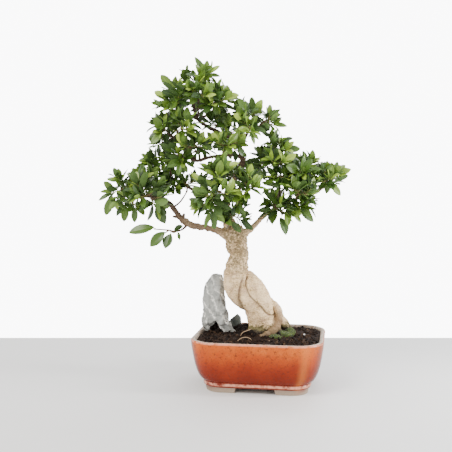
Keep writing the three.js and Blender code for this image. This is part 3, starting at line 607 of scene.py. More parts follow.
# Pot
POT_SKIN = [
    (10, 29), (10.3, 26.4), (11.6, 24.6), (13.4, 23.7), (15.8, 23.4), (17.8, 23.8), (19, 24.4), (20.2, 24),
    (22, 20.6), (26, 16.8), (35, 12), (48, 7.7), (62, 4.7), (80, 1.7), (90, 0.5), (94, 0.4), (96, 1.3),
    (96.8, 2.8), (97, 4.8), (96.6, 6.8), (95, 8.5), (91, 9.6), (75, 11.2), (60, 13), (46, 16.6), (34, 21),
    (22, 29), (18, 36),
]  # height, inset from the rim's outline: up the outside, over the lip and down the inside
POT_CORNER = 50
DEPTH_INSET = 0.75
CORNER_INSET = 0.6
LEAST_INSET = 0.3
POT_WIDTH = (POT_HIGH.x - POT_LOW.x) / MM + 2 * LEAST_INSET
POT_DEPTH = (POT_HIGH.y - POT_LOW.y) / MM + 2 * LEAST_INSET * DEPTH_INSET
POT_OUTER_ROWS = 18  # how many of the rows go up the outside
POT_STEPS = {"corner": 14, "side": 12}
FOOT = {"height": 10, "inset": 27, "length": 63, "width": 19, "radius": 30, "sink": 3, "steps": 10}
FOOT_LEVELS = [(3, 0), (2.5, 0.25), (2.2, 1), (0, FOOT["height"] + FOOT["sink"])]  # shrink, height
DRAIN = {"radius": 9, "offset": 46, "heights": (0, 10, 20, 32), "sides": 32}


def rounded_ring(inset, height):
    """A ring of the pot: four round corners with straight sides between."""
    radius = POT_CORNER - inset * CORNER_INSET
    x = POT_WIDTH / 2 - inset - radius
    y = POT_DEPTH / 2 - inset * DEPTH_INSET - radius
    points = []
    for k, (cx, cy) in enumerate(((x, y), (-x, y), (-x, -y), (x, -y))):
        turns = math.pi / 2 * (k + np.arange(POT_STEPS["corner"] + 1) / POT_STEPS["corner"])
        arc = np.stack([cx + radius * np.cos(turns), cy + radius * np.sin(turns)], axis=1)
        nx, ny = ((-x, y), (-x, -y), (x, -y), (x, y))[k]
        start = math.pi / 2 * (k + 1)
        target = np.array([nx + radius * math.cos(start), ny + radius * math.sin(start)])
        steps = np.arange(1, POT_STEPS["side"])[:, None] / POT_STEPS["side"]
        points += [arc, blend(arc[-1], target, steps)]
    ring = np.concatenate(points)
    return np.column_stack([ring, np.full(len(ring), height)])


def foot_ring(shrink, height):
    """A corner foot in plan, drawn in all round by shrink: an L whose outside follows the pot's corner."""
    x = POT_WIDTH / 2 - FOOT["inset"] - shrink
    y = POT_DEPTH / 2 - FOOT["inset"] * DEPTH_INSET - shrink
    length = FOOT["length"] - 2.6 * shrink
    width = FOOT["width"] - 2 * shrink
    turns = math.pi / 2 * np.arange(FOOT["steps"] + 1) / FOOT["steps"]
    radius = FOOT["radius"]
    outside = [(x - radius * (1 - math.cos(t)), y - radius * (1 - math.sin(t))) for t in turns]
    plan = [(x - width, y - width), (x - width, y - length), (x, y - length), *outside]
    plan += [(x - length, y), (x - length, y - width)]
    return np.array([(px, py, height) for px, py in plan])


def outline_distance(points):
    """How far inside the rim's outline each point is."""
    x = np.abs(points[:, 0]) - (POT_WIDTH / 2 - POT_CORNER)
    y = np.abs(points[:, 1]) - (POT_DEPTH / 2 - POT_CORNER)
    outside = np.hypot(np.maximum(x, 0), np.maximum(y, 0)) + np.minimum(np.maximum(x, y), 0)
    return POT_CORNER - outside


def make_pot():
    """The bowl with its feet joined on and its drain holes cut, and notes of where the glaze changes and
    where highlight and shade are painted on it.
    """
    rings = [rounded_ring(inset, height) for height, inset in smooth_run(POT_SKIN, 4)]
    bowl = Body()
    bowl.add(np.concatenate(rings), loft_faces(len(rings), len(rings[0])))
    feet = Body()
    for sx, sy in ((1, 1), (-1, 1), (-1, -1), (1, -1)):
        points = np.concatenate([foot_ring(*level) for level in FOOT_LEVELS]) * (sx, sy, 1)
        faces = loft_faces(len(FOOT_LEVELS), len(foot_ring(0, 0)))
        if sx * sy > 0:
            faces = [face[::-1] for face in faces]
        feet.add(points, faces)
    drains = Body()
    for side in (-1, 1):
        rows = [(side * DRAIN["offset"], 0, z, DRAIN["radius"]) for z in DRAIN["heights"]]
        drains.add(*tube(rows, DRAIN["sides"]))
    mesh = joined(bowl.mesh("bowl"), feet.mesh("feet"), "UNION")
    mesh = joined(mesh, drains.mesh("drains"), "DIFFERENCE")
    points = points_of(mesh)
    points += normals_of(mesh) * (0.22 * noise_at(points, 34, 3) * ramp(points[:, 2], 12, 30))[:, None]
    inset = outline_distance(points)
    z = points[:, 2]
    outer = np.array(POT_SKIN[:POT_OUTER_ROWS])
    inside = ramp(inset - np.interp(z, outer[:, 0], outer[:, 1]), 2.5, 4.5) * ramp(z, 24, 34)
    note(mesh, "lip", np.maximum(ramp(z, 96.1, 97), inside))
    # the bead and the shoulder below the lip: paler glaze there, partly a painted highlight
    bead = ramp(z, 12, 14.5) * ramp(z, 19.5, 17)
    shoulder = ramp(z, 92.5, 94.5) * ramp(z, 97, 95.8)
    note(mesh, "edge", np.maximum(bead, shoulder * 0.8) * (1 - inside))
    note(mesh, "bare", 1 - ramp(z, 9.8, 10.8))
    facing = normals_of(mesh)[:, :2]
    sideways = facing[:, 0] / (np.abs(facing).sum(axis=1) + 0.01)  # 0 to the front or back, 1 to the right
    # corner: where a painted highlight runs down the right-hand corners
    note(mesh, "corner", np.exp(-(((sideways - 0.28) / 0.11) ** 2)) * (1 - inside))
    # end: where painted shade darkens the end walls
    note(mesh, "end", ramp(np.abs(sideways), 0.45, 0.7) * (1 - inside))
    set_points(mesh, in_pot(points))
    piece("glazed_pot", mesh, [glaze_finish()], "glaze", "pot", sharp=40)


# Soil
SOIL_EDGE = 91
SOIL_MOUND = {"height": 8, "x": 88, "y": 62, "centre_y": 8}
SOIL_WALLS = [(18.4, 36.6), (22, 29.6), (34, 21.6), (60, 13.6), (78, 11.5)]  # height, inset
SOIL_RIM_INSET = 10.1
SOIL_RINGS = 44
SOIL_HEAPED = {"height": 4.5, "reach": 6, "below": 112}
CRUMBS = {"count": 2600, "least": 0.8, "spread": 3.0, "power": 2.6, "flat": 0.75}
CLODS = [
    (-86, 36, 106, 7.5), (-79, 27, 97, 5), (-92, 40, 99, 6), (-84, 24, 96, 4.5), (-36, 36, 102, 8),
    (-28, 27, 104, 9), (-23, 13, 101, 8), (-31, 5, 98, 6.5), (-46, 44, 99, 7), (-22, -20, 97, 5.5),
    (-30, -10, 97, 5), (-14, -33, 96, 4.5), (3, -46, 95, 3.6), (66, 14, 98, 5), (54, 11, 100, 5),
    (-40, 20, 99, 6), (-20, 38, 101, 7), (-27, -18, 100, 6), (-19, -25, 100, 6), (-11, -31, 99, 5.5),
    (-3, -39, 98, 4.5), (9, -43, 97, 4), (-33, 14, 101, 6.5), (22, -38, 97, 4),
]  # x, y, z, size


def soil_height(x, y):
    """The mound's height at a place of the planting."""
    reach = (x / SOIL_MOUND["x"]) ** 2 + ((y - SOIL_MOUND["centre_y"]) / SOIL_MOUND["y"]) ** 2
    lumps = 0.9 * np.sin(x * 0.11 + 1.3) * np.cos(y * 0.13) + 0.6 * np.sin(x * 0.23 - y * 0.19)
    return SOIL_EDGE + SOIL_MOUND["height"] * np.exp(-reach) + lumps


def banked(points, wood):
    """How much higher the soil lies at each point than the mound, where it is heaped against the wood."""
    low = wood[wood[:, 2] < SOIL_HEAPED["below"]]
    gap = np.linalg.norm(points[:, None, :2] - low[None, :, :2], axis=2) - low[None, :, 3]
    return SOIL_HEAPED["height"] * np.exp(-np.maximum(gap.min(axis=1), 0) / SOIL_HEAPED["reach"])


def pot_to_planting(points):
    """Points of the pot in the planting's frame."""
    cos, sin = math.cos(VIEW_TURN), math.sin(VIEW_TURN)
    return points @ np.array([[cos, -sin, 0], [sin, cos, 0], [0, 0, 1]])


def rubble(stock, draw, centre, size):
    """A crumb: one of the stock of rough lumps, turned and stretched by chance."""
    points, faces = stock[draw.randrange(len(stock))]
    a, b, c = (draw.uniform(0, 2 * math.pi) for _ in range(3))
    turn = rotation(a, b, c)
    stretch = [draw.uniform(0.8, 1.25), draw.uniform(0.75, 1.1), CRUMBS["flat"] * draw.uniform(0.8, 1.2)]
    return centre + (points * stretch * size) @ turn, faces


def rotation(a, b, c):
    """A turn about z, y and x by the angles given."""
    ca, sa, cb, sb, cc, sc = math.cos(a), math.sin(a), math.cos(b), math.sin(b), math.cos(c), math.sin(c)
    around_z = np.array([[ca, -sa, 0], [sa, ca, 0], [0, 0, 1]])
    around_y = np.array([[cb, 0, sb], [0, 1, 0], [-sb, 0, cb]])
    around_x = np.array([[1, 0, 0], [0, cc, -sc], [0, sc, cc]])
    return around_z @ around_y @ around_x


def lumps(count, level, rough, seed):
    """A stock of rough lumps of radius 1."""
    stock = []
    for k in range(count):
        ball = bmesh.new()
        bmesh.ops.create_icosphere(ball, subdivisions=level, radius=1)
        ball.verts.ensure_lookup_table()
        points = np.array([vert.co for vert in ball.verts])
        faces = [tuple(vert.index for vert in face.verts) for face in ball.faces]
        ball.free()
        swell = 1 + rough * crumple_at(points, 1.1, 2, seed + 3.7 * k)
        stock.append((points * swell[:, None], faces))
    return stock


def in_wood(point, spots, margin):
    """Whether a point is inside the trunk or a root, or nearer to one than the margin."""
    return bool(np.any(np.linalg.norm(spots[:, :3] - point, axis=1) < spots[:, 3] + margin))


def make_soil():
    """The mix that fills the pot, heaped against the wood, and the crumbs and clods on it."""
    finish = soil_finish()
    body = Body()
    rings = [rounded_ring(inset, height) for height, inset in SOIL_WALLS]
    edge = rounded_ring(SOIL_RIM_INSET, 0)
    shares = 1 - np.arange(SOIL_RINGS) / (SOIL_RINGS + 0.5)
    tops = [edge * (share, share, 0) for share in shares]
    points = pot_to_planting(np.concatenate(rings + tops))
    first = len(rings) * len(edge)
    crumbs = crumple_at(points[first:], 9, 3, 5)
    wood = np.concatenate([smooth_run(rows, 3) for rows in [*TRUNK.values(), *ROOTS.values()]])
    points[first:, 2] = soil_height(points[first:, 0], points[first:, 1]) + 1.5 * crumbs
    points[first:, 2] += banked(points[first:], wood)
    points[first : first + len(edge), 2] -= 0.8
    body.add(points, loft_faces(len(rings) + len(tops), len(edge)), tone=0.5)
    piece("potting_mix", body.mesh("potting_mix", in_planting), [finish], "soil", "soil", sharp=180)

    draw = random.Random(SEED)
    stock = lumps(7, 1, 0.55, 11)
    grains = Body()
    half = np.array([POT_WIDTH / 2, POT_DEPTH / 2]) - SOIL_RIM_INSET
    while grains.count < CRUMBS["count"] * len(stock[0][0]):
        x, y = draw.uniform(-half[0], half[0]), draw.uniform(-half[1], half[1])
        size = CRUMBS["least"] + CRUMBS["spread"] * draw.random() ** CRUMBS["power"]
        here = np.array([[x, y, 0.0]])
        if outline_distance(here)[0] < SOIL_RIM_INSET + size + 0.6:
            continue
        here = pot_to_planting(here)[0]
        ground = soil_height(here[0], here[1]) + banked(here[None], wood)[0]
        here[2] = ground + draw.uniform(-0.2, 0.45) * size
        if in_wood(here, wood, -1):
            continue
        grains.add(*rubble(stock, draw, here, size), tone=draw.random())
    clods = lumps(5, 2, 0.6, 17)
    for x, y, z, size in CLODS:
        grains.add(*rubble(clods, draw, np.array([x, y, z]), size), tone=0.3 * draw.random())
    piece("soil_crumbs", grains.mesh("soil_crumbs", in_planting), [finish], "soil")


# Stones
STONE_ROWS = [
    [66, -100, -42, 33, 14], [88, -106, -44, 33, 15], [103, -112, -52, 34, 16], [115, -111, -59, 34, 16],
    [129, -109, -63, 34, 16], [146, -110, -66, 34, 15], [156, -113, -68, 34, 14], [172, -110, -70, 34, 13],
    [187, -106, -71, 34, 12], [197, -101, -72, 34, 10.5], [203.5, -96, -73, 34, 9], [206.5, -92, -75, 34, 7],
]  # height, left, right, middle of the depth, half depth
STONE_SLANT = -0.45
STONE_SIDES = 64
STONE_NOTCH = [(-86, 117), (-100, 96), (-102, 55), (-66, 55), (-69, 96)]  # x, z of the gap in its foot
STONE_NOTCH_DEPTH = (90, -20)
STONE_FACETS = 46


def faceted(mesh, count, share, draw):
    """Draws each patch of the skin, one of the given count, towards a plane of its own."""
    points, normals = points_of(mesh), normals_of(mesh)
    tall = points * (1, 1, 0.55)
    seeds = tall[draw.sample(range(len(points)), count)]
    patch = np.linalg.norm(tall[:, None] - seeds[None], axis=2).argmin(axis=1)
    for k in range(count):
        own = patch == k
        middle, normal = points[own].mean(axis=0), unit(normals[own].mean(axis=0))
        points[own] -= np.outer((points[own] - middle) @ normal * share, normal)
    set_points(mesh, points)


def chiselled(mesh, depth, size, seed):
    """Rough relief, sharp at its ridges, as on broken stone; notes where it is hollow, for painted shade
    there.
    """
    points = points_of(mesh)
    coarse = crumple_at(points * (1, 1, 0.55), size, 3, seed)
    ridged = 1 - 2 * np.abs(crumple_at(points * (1, 1, 0.6), size * 0.55, 3, seed + 4))
    fine = crumple_at(points, size * 0.16, 2, seed + 9)
    height = depth * (0.9 * coarse + 0.55 * ridged + 0.14 * fine)
    points = points + normals_of(mesh) * height[:, None]
    note(mesh, "crease", ramp(-height, 0.1 * depth, 1.1 * depth))
    return points


def make_standing_stone():
    """The tall stone: a loft with a gap cut in its foot, then flattened in patches and chiselled."""
    turns = 2 * math.pi * np.arange(STONE_SIDES) / STONE_SIDES
    rings = []
    for z, left, right, middle, half_depth in smooth_run(STONE_ROWS, 3):
        x = (right - left) / 2 * np.sign(np.cos(turns)) * np.abs(np.cos(turns)) ** 0.8
        y = middle + half_depth * np.sin(turns) + x * STONE_SLANT
        rings.append(np.stack([(left + right) / 2 + x, y, np.full(STONE_SIDES, z)], axis=1))
    body = Body()
    body.add(np.concatenate(rings), loft_faces(len(rings), STONE_SIDES))
    wedge = Body()
    corners = [(x, y, z) for y in STONE_NOTCH_DEPTH for x, z in STONE_NOTCH]
    wedge.add(corners, loft_faces(2, len(STONE_NOTCH)))
    mesh = joined(body.mesh("stone"), wedge.mesh("wedge"), "DIFFERENCE")
    mesh = remeshed(mesh, SKIN_SQUARES["stone"])
    relaxed(mesh, 4)
    faceted(mesh, STONE_FACETS, 0.95, random.Random(SEED + 5))
    relaxed(mesh, 2)
    set_points(mesh, in_planting(chiselled(mesh, 2.1, 20, 21)))
    finish = stone_finish(
        "stone", (0.090, 0.093, 0.086), (0.300, 0.306, 0.285), (0.500, 0.503, 0.465), (0.90, 0.88, 0.81)
    )
    piece("standing_rock", mesh, [finish], "stone", "standing_stone", sharp=55)


DARK_STONE = {"centre": (-47, 52, 104), "radii": (14.5, 11, 20), "corners": 26}
DARK_STONE_TOP = [(-12, -4, 9), (-2, -6, 17), (4, -2, 22), (11, 2, 15), (6, 8, 17), (-6, 7, 12)]


def make_dark_stone():
    """The small stone behind: a hull round corners by chance below and the given ones on top."""
    draw = random.Random(SEED + 11)
    centre = np.array(DARK_STONE["centre"], float)
    rock = bmesh.new()
    for _ in range(DARK_STONE["corners"]):
        direction = unit(np.array([draw.gauss(0, 1) for _ in range(3)]))
        direction[2] = min(direction[2], 0.3)
        rock.verts.new(centre + direction * DARK_STONE["radii"] * draw.uniform(0.82, 1.05))
    for corner in DARK_STONE_TOP:
        rock.verts.new(centre + corner)
    hull = bmesh.ops.convex_hull(rock, input=rock.verts)
    spare = [g for g in hull["geom_interior"] + hull["geom_unused"] if isinstance(g, bmesh.types.BMVert)]
    bmesh.ops.delete(rock, geom=list(set(spare)), context="VERTS")
    mesh = bpy.data.meshes.new("dark_rock")
    rock.to_mesh(mesh)
    rock.free()
    mesh = remeshed(mesh, SKIN_SQUARES["dark_stone"])
    relaxed(mesh, 1)
    set_points(mesh, in_planting(chiselled(mesh, 0.5, 14, 33)))
    finish = stone_finish(
        "dark_stone", (0.022, 0.025, 0.022), (0.065, 0.074, 0.066), (0.140, 0.155, 0.140), (0.20, 0.215, 0.19)
    )
    piece("dark_rock", mesh, [finish], "dark_stone", "dark_stone", sharp=55)


PERLITE = {"place": (84, -8), "radii": (2.6, 2.2, 2.0), "lift": 1.3}


def make_perlite():
    (points, faces), = lumps(1, 3, 0.5, 41)
    body = Body()
    x, y = PERLITE["place"]
    body.add(points * PERLITE["radii"] + (x, y, soil_height(x, y) + PERLITE["lift"]), faces)
    finish = Finish("perlite", Roughness=0.9)
    grain = finish.noise(1.2, 4, 0.7)
    finish.set(Base_Color=grain.colours((0.3, (0.60, 0.57, 0.52)), (0.7, (0.86, 0.85, 0.82))))
    finish.bump(grain, 0.4)
    piece("perlite", body.mesh("perlite", in_planting), [finish.material], "perlite", "perlite_grain")


# Trunk, roots and limbs: rows of x, y, z, radius, each run starting inside what it grows from
TRUNK = {
    "column": [
        [-61, 0, 316, 11], [-58, 0, 306, 14], [-52, 0, 296, 19], [-46, 0, 284, 20.5], [-45.5, 0, 268, 20.5],
        [-42, 0, 258, 19], [-41, 0, 249, 17.8], [-43, 0, 238, 19.4], [-45, 0, 226, 21.5], [-47, 0, 212, 24],
        [-46, 0, 196, 24.5], [-44, 1, 182, 23], [-38.5, 2, 168, 19], [-28, 3, 154, 14], [-14, 4, 142, 14.5],
        [-2, 5, 130, 19],
    ],
    "lower": [
        [-30, 2, 200, 20], [-24, 2, 184, 25], [-16, 3, 166, 29], [-6, 4, 150, 27.5], [1, 5, 136, 28.5],
        [4, 6, 122, 28], [5, 6, 108, 26.5], [5, 6, 92, 28], [5, 6, 66, 24],
    ],
    "swelling": [
        [-22, -5, 212, 8], [-16, -7, 202, 13.5], [-10.5, -8, 191, 17], [-5.5, -9, 180, 18.6],
        [-0.5, -9, 169, 19.2], [4, -8, 158, 18.8], [9, -5, 147, 16.5], [14, -1, 137, 12], [19, 3, 129, 7],
    ],
}
ROOTS = {
    "wrap": [
        [18, 3, 160, 7], [27, 0, 152, 8.4], [34, -3, 144, 8], [37, -7, 135, 7.2], [36, -12, 126, 7],
        [33, -18, 117, 7], [27, -25, 109, 7.2], [18, -31, 104, 6.6], [8, -36, 101, 5.2], [-2, -41, 99, 3.8],
        [-12, -46, 95.5, 2.6],
    ],
    "back": [[26, 18, 130, 13], [39, 22, 120, 12], [48, 23, 110, 11], [54, 24, 99, 10], [58, 24, 84, 8]],
    "left": [[-6, -2, 114, 16], [-13, -6, 104, 11], [-21, -11, 95, 7.5], [-29, -16, 84, 5]],
    "front": [[4, 0, 112, 17], [-1, -8, 104, 14], [-7, -15, 96, 11], [-12, -22, 84, 7]],
    "right": [[14, -4, 116, 18], [26, -4, 105, 14], [36, -6, 96, 10], [44, -9, 84, 6]],
    "rear": [[0, 14, 124, 22], [-6, 28, 108, 15], [-14, 42, 96, 9], [-22, 54, 84, 5]],
}
LIMBS = {
    "left": [
        [-54, 0, 284, 14], [-69, -1, 291, 9.4], [-84, -2, 298, 7], [-100, -4, 302, 6.2], [-116, -5, 304, 5.9],
        [-131, -6, 307, 6.3], [-143, -6, 313, 7], [-152, -5, 321, 6], [-161, -4, 332, 5.3],
        [-169, -3, 343, 4.8], [-180, -2, 353, 4.2], [-196, 0, 360, 3.6], [-216, 0, 363, 3],
        [-238, 0, 364, 2.3], [-256, 0, 370, 1.8],
    ],
    "leftKnob": [[-146, -6, 316, 4], [-147, -8, 323, 2.9], [-146, -9, 328, 2.7]],
    "leftStub": [[-154, -5, 322, 3.4], [-160, -6, 323, 2.8], [-166, -7, 324, 2.2]],
    "leftFront": [[-168, -3, 342, 3.4], [-178, -18, 348, 2.7], [-192, -32, 354, 2.2], [-206, -38, 362, 1.7]],
    "leftBack": [[-180, -2, 353, 3.4], [-190, 20, 361, 2.7], [-202, 40, 368, 2.2], [-216, 52, 374, 1.6]],
    "second": [
        [-66, 2, 330, 6], [-84, 14, 350, 4], [-108, 21, 365, 3.4], [-133, 24, 376, 3.1], [-157, 23, 389, 2.8],
        [-177, 20, 401, 2.1],
    ],
    "link": [[-167, -3, 341, 2.4], [-156, 3, 350, 1.7], [-148, 6, 361, 1.5], [-141, 8, 373, 1.3]],
    "droop": [[-139, -7, 309, 2.6], [-149, -11, 300, 1.8], [-162, -14, 296, 1.5]],
    "leader": [
        [-59, 0, 308, 12], [-65, 2, 324, 9.6], [-66, 3, 342, 8], [-62, 5, 364, 7], [-52, 8, 390, 6.2],
        [-39, 11, 414, 5.6], [-33, 12, 436, 5.2], [-40, 11, 456, 4.8], [-60, 9, 474, 4.4], [-86, 6, 488, 4],
        [-108, 3, 500, 3.6], [-121, 1, 511, 3.2], [-127, 0, 530, 2.8], [-127, 0, 552, 2.2],
    ],
    "apexLeft": [[-119, 1, 509, 3], [-137, -3, 517, 2.4], [-155, -6, 523, 1.9]],
    "apexRight": [[-119, 1, 509, 3], [-104, -3, 516, 2.4], [-89, -6, 526, 2]],
    "apexBack": [[-121, 1, 511, 2.8], [-120, 18, 524, 2.2], [-121, 32, 540, 1.8]],
    "midLeft": [
        [-34, 12, 438, 4.4], [-52, 4, 442, 3.8], [-76, -6, 440, 3.4], [-100, -11, 436, 3],
        [-121, -12, 430, 2.6], [-139, -12, 438, 2.2],
    ],
    "upperLeft": [[-122, -12, 431, 2.4], [-140, -8, 450, 2.1], [-156, -5, 467, 1.9], [-172, -3, 480, 1.6]],
    "upperRight": [[-39, 11, 456, 3.8], [-30, 6, 474, 3], [-21, 2, 490, 2.4], [-12, 0, 501, 1.9]],
    "upperBack": [[-58, 9, 472, 3.4], [-58, 28, 482, 2.6], [-54, 46, 490, 2]],
    "centreFront": [[-65, 0, 328, 6], [-71, -18, 342, 4], [-78, -34, 358, 3], [-82, -46, 376, 2.2]],
    "centreRight": [[-60, -2, 318, 6], [-51, -16, 338, 4.2], [-43, -27, 352, 3], [-32, -36, 364, 2.2]],
    "back": [[-64, 4, 334, 6], [-62, 28, 352, 4.4], [-60, 54, 370, 3.2], [-62, 78, 384, 2.2]],
    "backRight": [[-61, 32, 355, 3], [-42, 48, 372, 2.4], [-22, 62, 388, 1.9]],
    "right": [
        [-42, 0, 280, 14], [-31, 0, 291, 9], [-20, -2, 299, 5.8], [-8, -3, 310, 4.9], [2, -4, 321, 4.7],
        [13, -4, 330, 4.5], [26, -2, 338, 4.2], [43, 0, 347, 3.9], [61, 1, 355, 3.6], [80, 0, 361, 3.2],
        [99, -2, 367, 2.9], [114, -3, 375, 2.5], [126, -3, 386, 2.1],
    ],
    "rightFront": [[42, 0, 346, 3.2], [50, -16, 352, 2.6], [60, -28, 358, 2]],
    "rightMid": [[40, 0, 345, 3.4], [38, 7, 370, 2.8], [32, 9, 394, 2.4], [30, 7, 412, 2]],
    "rightBack": [[26, -2, 338, 3.4], [34, 24, 356, 2.6], [44, 48, 372, 2]],
    "rightOuter": [[80, 0, 361, 2.8], [85, 5, 382, 2.2], [90, 3, 402, 1.8]],
}
CROWN_DEPTH = 1.35
# Sprays: the limb each grows from, then its shoot tips as x, y, z, leaf length, share of young leaves
SPRAYS = [
    ("leader", (-100, -5, 595, 34, 0.45), (-117, -20, 574, 32, 0.75), (-140, 0, 578, 32, 0.7)),
    ("leader", (-124, -30, 556, 32, 0.45), (-106, -38, 545, 34, 0.2)),
    ("apexLeft", (-165, -4, 562, 34, 0.6), (-154, -24, 546, 36, 0.1)),
    ("apexLeft", (-181, 0, 547, 32, 0.7), (-170, -12, 526, 34, 0.3), (-158, 22, 530, 32, 0.3)),
    ("apexRight", (-84, -8, 566, 30, 0.5), (-72, -18, 543, 38, 0.7), (-90, -34, 532, 34, 0.25)),
    ("apexBack", (-118, 30, 582, 32, 0.4), (-146, 38, 560, 32, 0.3), (-94, 38, 560, 32, 0.3)),
    ("apexBack", (-118, 54, 536, 34, 0.3), (-84, 32, 532, 32, 0.3)),
    ("upperLeft", (-187, -4, 502, 30, 0.1), (-186, -16, 482, 32, 0.6)),
    ("upperLeft", (-152, -28, 503, 38, 0.05), (-136, -42, 484, 32, 0.8)),
    ("upperLeft", (-196, 0, 459, 28, 0.1), (-178, 18, 468, 34, 0.2)),
    ("upperLeft", (-168, 38, 492, 32, 0.3), (-142, 34, 484, 32, 0.3)),
    ("midLeft", (-142, -32, 456, 32, 0.75), (-117, -38, 460, 34, 0.3)),
    ("midLeft", (-166, -12, 444, 34, 0.1), (-148, -28, 426, 34, 0)),
    ("midLeft", (-134, 30, 446, 32, 0.3), (-108, 40, 462, 32, 0.3)),
    ("midLeft", (-82, -32, 462, 30, 0.9), (-62, -42, 456, 32, 0.8), (-44, -30, 462, 32, 0.7)),
    ("leader", (-66, -16, 496, 32, 0.7), (-96, -18, 500, 32, 0.15)),
    ("upperBack", (-74, 44, 502, 32, 0.3), (-44, 62, 484, 32, 0.3), (-62, 60, 462, 34, 0.2)),
    ("upperRight", (-14, -8, 517, 36, 0.45), (-48, -10, 526, 32, 0.3)),
    ("upperRight", (15, -5, 511, 30, 0.4), (23, -14, 496, 28, 0.3)),
    ("upperRight", (-30, -28, 498, 34, 0.1), (-20, -38, 481, 34, 0.9)),
    ("upperRight", (-34, 34, 516, 32, 0.3), (0, 34, 494, 32, 0.3)),
    ("rightMid", (45, -4, 450, 34, 0.8), (24, 6, 468, 32, 0.4)),
    ("rightMid", (20, -24, 428, 30, 0.75), (41, -28, 424, 32, 0.8)),
    ("rightMid", (4, 16, 440, 34, 0.1), (4, 22, 412, 32, 0)),
    ("rightMid", (32, 50, 446, 32, 0.3), (58, 36, 432, 32, 0.3)),
    ("rightOuter", (80, -2, 421, 32, 0.05), (98, -6, 425, 28, 0.8)),
    ("rightOuter", (60, -20, 414, 32, 0.05), (77, -28, 403, 42, 0.05)),
    ("rightOuter", (92, 34, 408, 32, 0.3), (70, 46, 404, 32, 0.3)),
    ("right", (142, -4, 403, 32, 0.7), (128, -14, 394, 32, 0.5), (134, 12, 384, 32, 0.5)),
    ("right", (115, -4, 409, 30, 0.2), (103, -18, 396, 30, 0.7)),
    ("rightFront", (62, -40, 374, 40, 0.1), (88, -30, 366, 36, 0.15)),
    ("rightMid", (46, -24, 396, 34, 0.2), (30, -14, 398, 32, 0.4)),
    ("right", (86, -14, 350, 34, 0.3), (72, -24, 341, 34, 0.1)),
    ("right", (50, -26, 328, 38, 0.25), (20, -18, 334, 34, 0.05), (20, -22, 355, 32, 0.05)),
    ("rightBack", (60, 52, 386, 34, 0.3), (30, 66, 380, 34, 0.2), (76, 46, 368, 34, 0.2)),
    ("centreFront", (-80, -62, 396, 34, 0.85), (-94, -54, 412, 34, 0.3), (-74, -44, 422, 32, 0.8)),
    ("centreFront", (-63, -66, 368, 32, 0.7), (-100, -64, 364, 36, 0.1)),
    ("centreFront", (-112, -50, 386, 36, 0.15), (-108, -48, 346, 36, 0.5), (-90, -42, 334, 38, 0.05)),
    ("centreRight", (-16, -48, 379, 32, 0.85), (-34, -54, 366, 34, 0.4), (-22, -36, 402, 32, 0.6)),
    ("centreRight", (-42, -40, 396, 34, 0.1), (-46, -46, 346, 28, 0.3)),
    ("centreRight", (-58, -22, 322, 30, 0.1), (-38, -18, 318, 30, 0.1)),
    ("left", (-266, -4, 394, 30, 0.1), (-285, 0, 368, 30, 0.6), (-250, -18, 376, 34, 0.6)),
    ("left", (-236, -8, 397, 32, 0.4), (-212, -8, 398, 36, 0.1)),
    ("leftFront", (-230, -36, 384, 40, 0.05), (-222, -34, 362, 34, 0.5),
     (-196, -28, 376, 32, 0.1), (-199, -36, 346, 42, 0.05)),
    ("left", (-262, 6, 348, 34, 0.2), (-237, -10, 344, 36, 0.3)),
    ("leftBack", (-236, 38, 386, 34, 0.3), (-252, 30, 364, 34, 0.3), (-206, 58, 376, 34, 0.3)),
    ("second", (-178, 16, 384, 26, 0.1), (-162, 10, 376, 26, 0.15), (-168, 44, 388, 28, 0.1)),
    ("second", (-192, -2, 408, 26, 0.1), (-210, 10, 428, 36, 0.3), (-198, 26, 444, 28, 0.2)),
    ("second", (-168, -4, 418, 28, 0.35), (-180, 8, 442, 28, 0.4)),
    ("link", (-132, 8, 390, 24, 0.5), (-147, 12, 388, 24, 0.3)),
    ("droop", (-182, -16, 293, 34, 0.25), (-202, -18, 301, 38, 0.25), (-160, -16, 296, 28, 0.25)),
    ("back", (-80, 92, 396, 34, 0.25), (-56, 102, 402, 34, 0.25), (-38, 88, 412, 32, 0.25)),
    ("backRight", (-8, 78, 402, 34, 0.25), (-26, 66, 420, 32, 0.25)),
]
# Grooves in the front of the trunk, as x, z, and the scar of a lost branch
MAIN_CREASE = [
    (-25, 209), (-28, 198), (-26, 187), (-20, 173), (-9, 162), (2, 151), (10, 141), (22, 135), (29, 138),
]
SIDE_CREASE = [(-34, 205), (-39, 190), (-41, 176), (-40, 162), (-36, 150), (-31, 139)]
CREASE_WIDTH = {"main": 1.5, "side": 3.0, "seam": 1.5}
SCAR = {"x": -15, "z": 213, "size": 4.5}
SIDES = {"trunk": 40, "root": 24, "limb": 18, "thin_limb": 12, "twig": 8}
BATCH = 4000  # points that are measured against the wood at a time
THICK = 2.6  # limbs thinner than this radius are runs of their own, not part of the fused wood


def deepened(rows):
    """Rows with the crown's depth stretched to its full measure."""
    return [[x, y * CROWN_DEPTH, *rest] for x, y, *rest in rows]


def line_distance(points, line):
    """Distance from each x, z to a line, with a sign: plus to its right as it runs on."""
    line = np.asarray(smooth_run(line, 5), float)
    best = np.full(len(points), 1e9)
    side = np.zeros(len(points))
    for a, b in zip(line[:-1], line[1:]):
        along = b - a
        t = np.clip((points - a) @ along / (along @ along), 0, 1)
        offset = points - (a + t[:, None] * along)
        distance = np.hypot(offset[:, 0], offset[:, 1])
        nearer = distance < best
        best[nearer] = distance[nearer]
        side[nearer] = np.sign(along[1] * offset[nearer, 0] - along[0] * offset[nearer, 1])
    return best, side


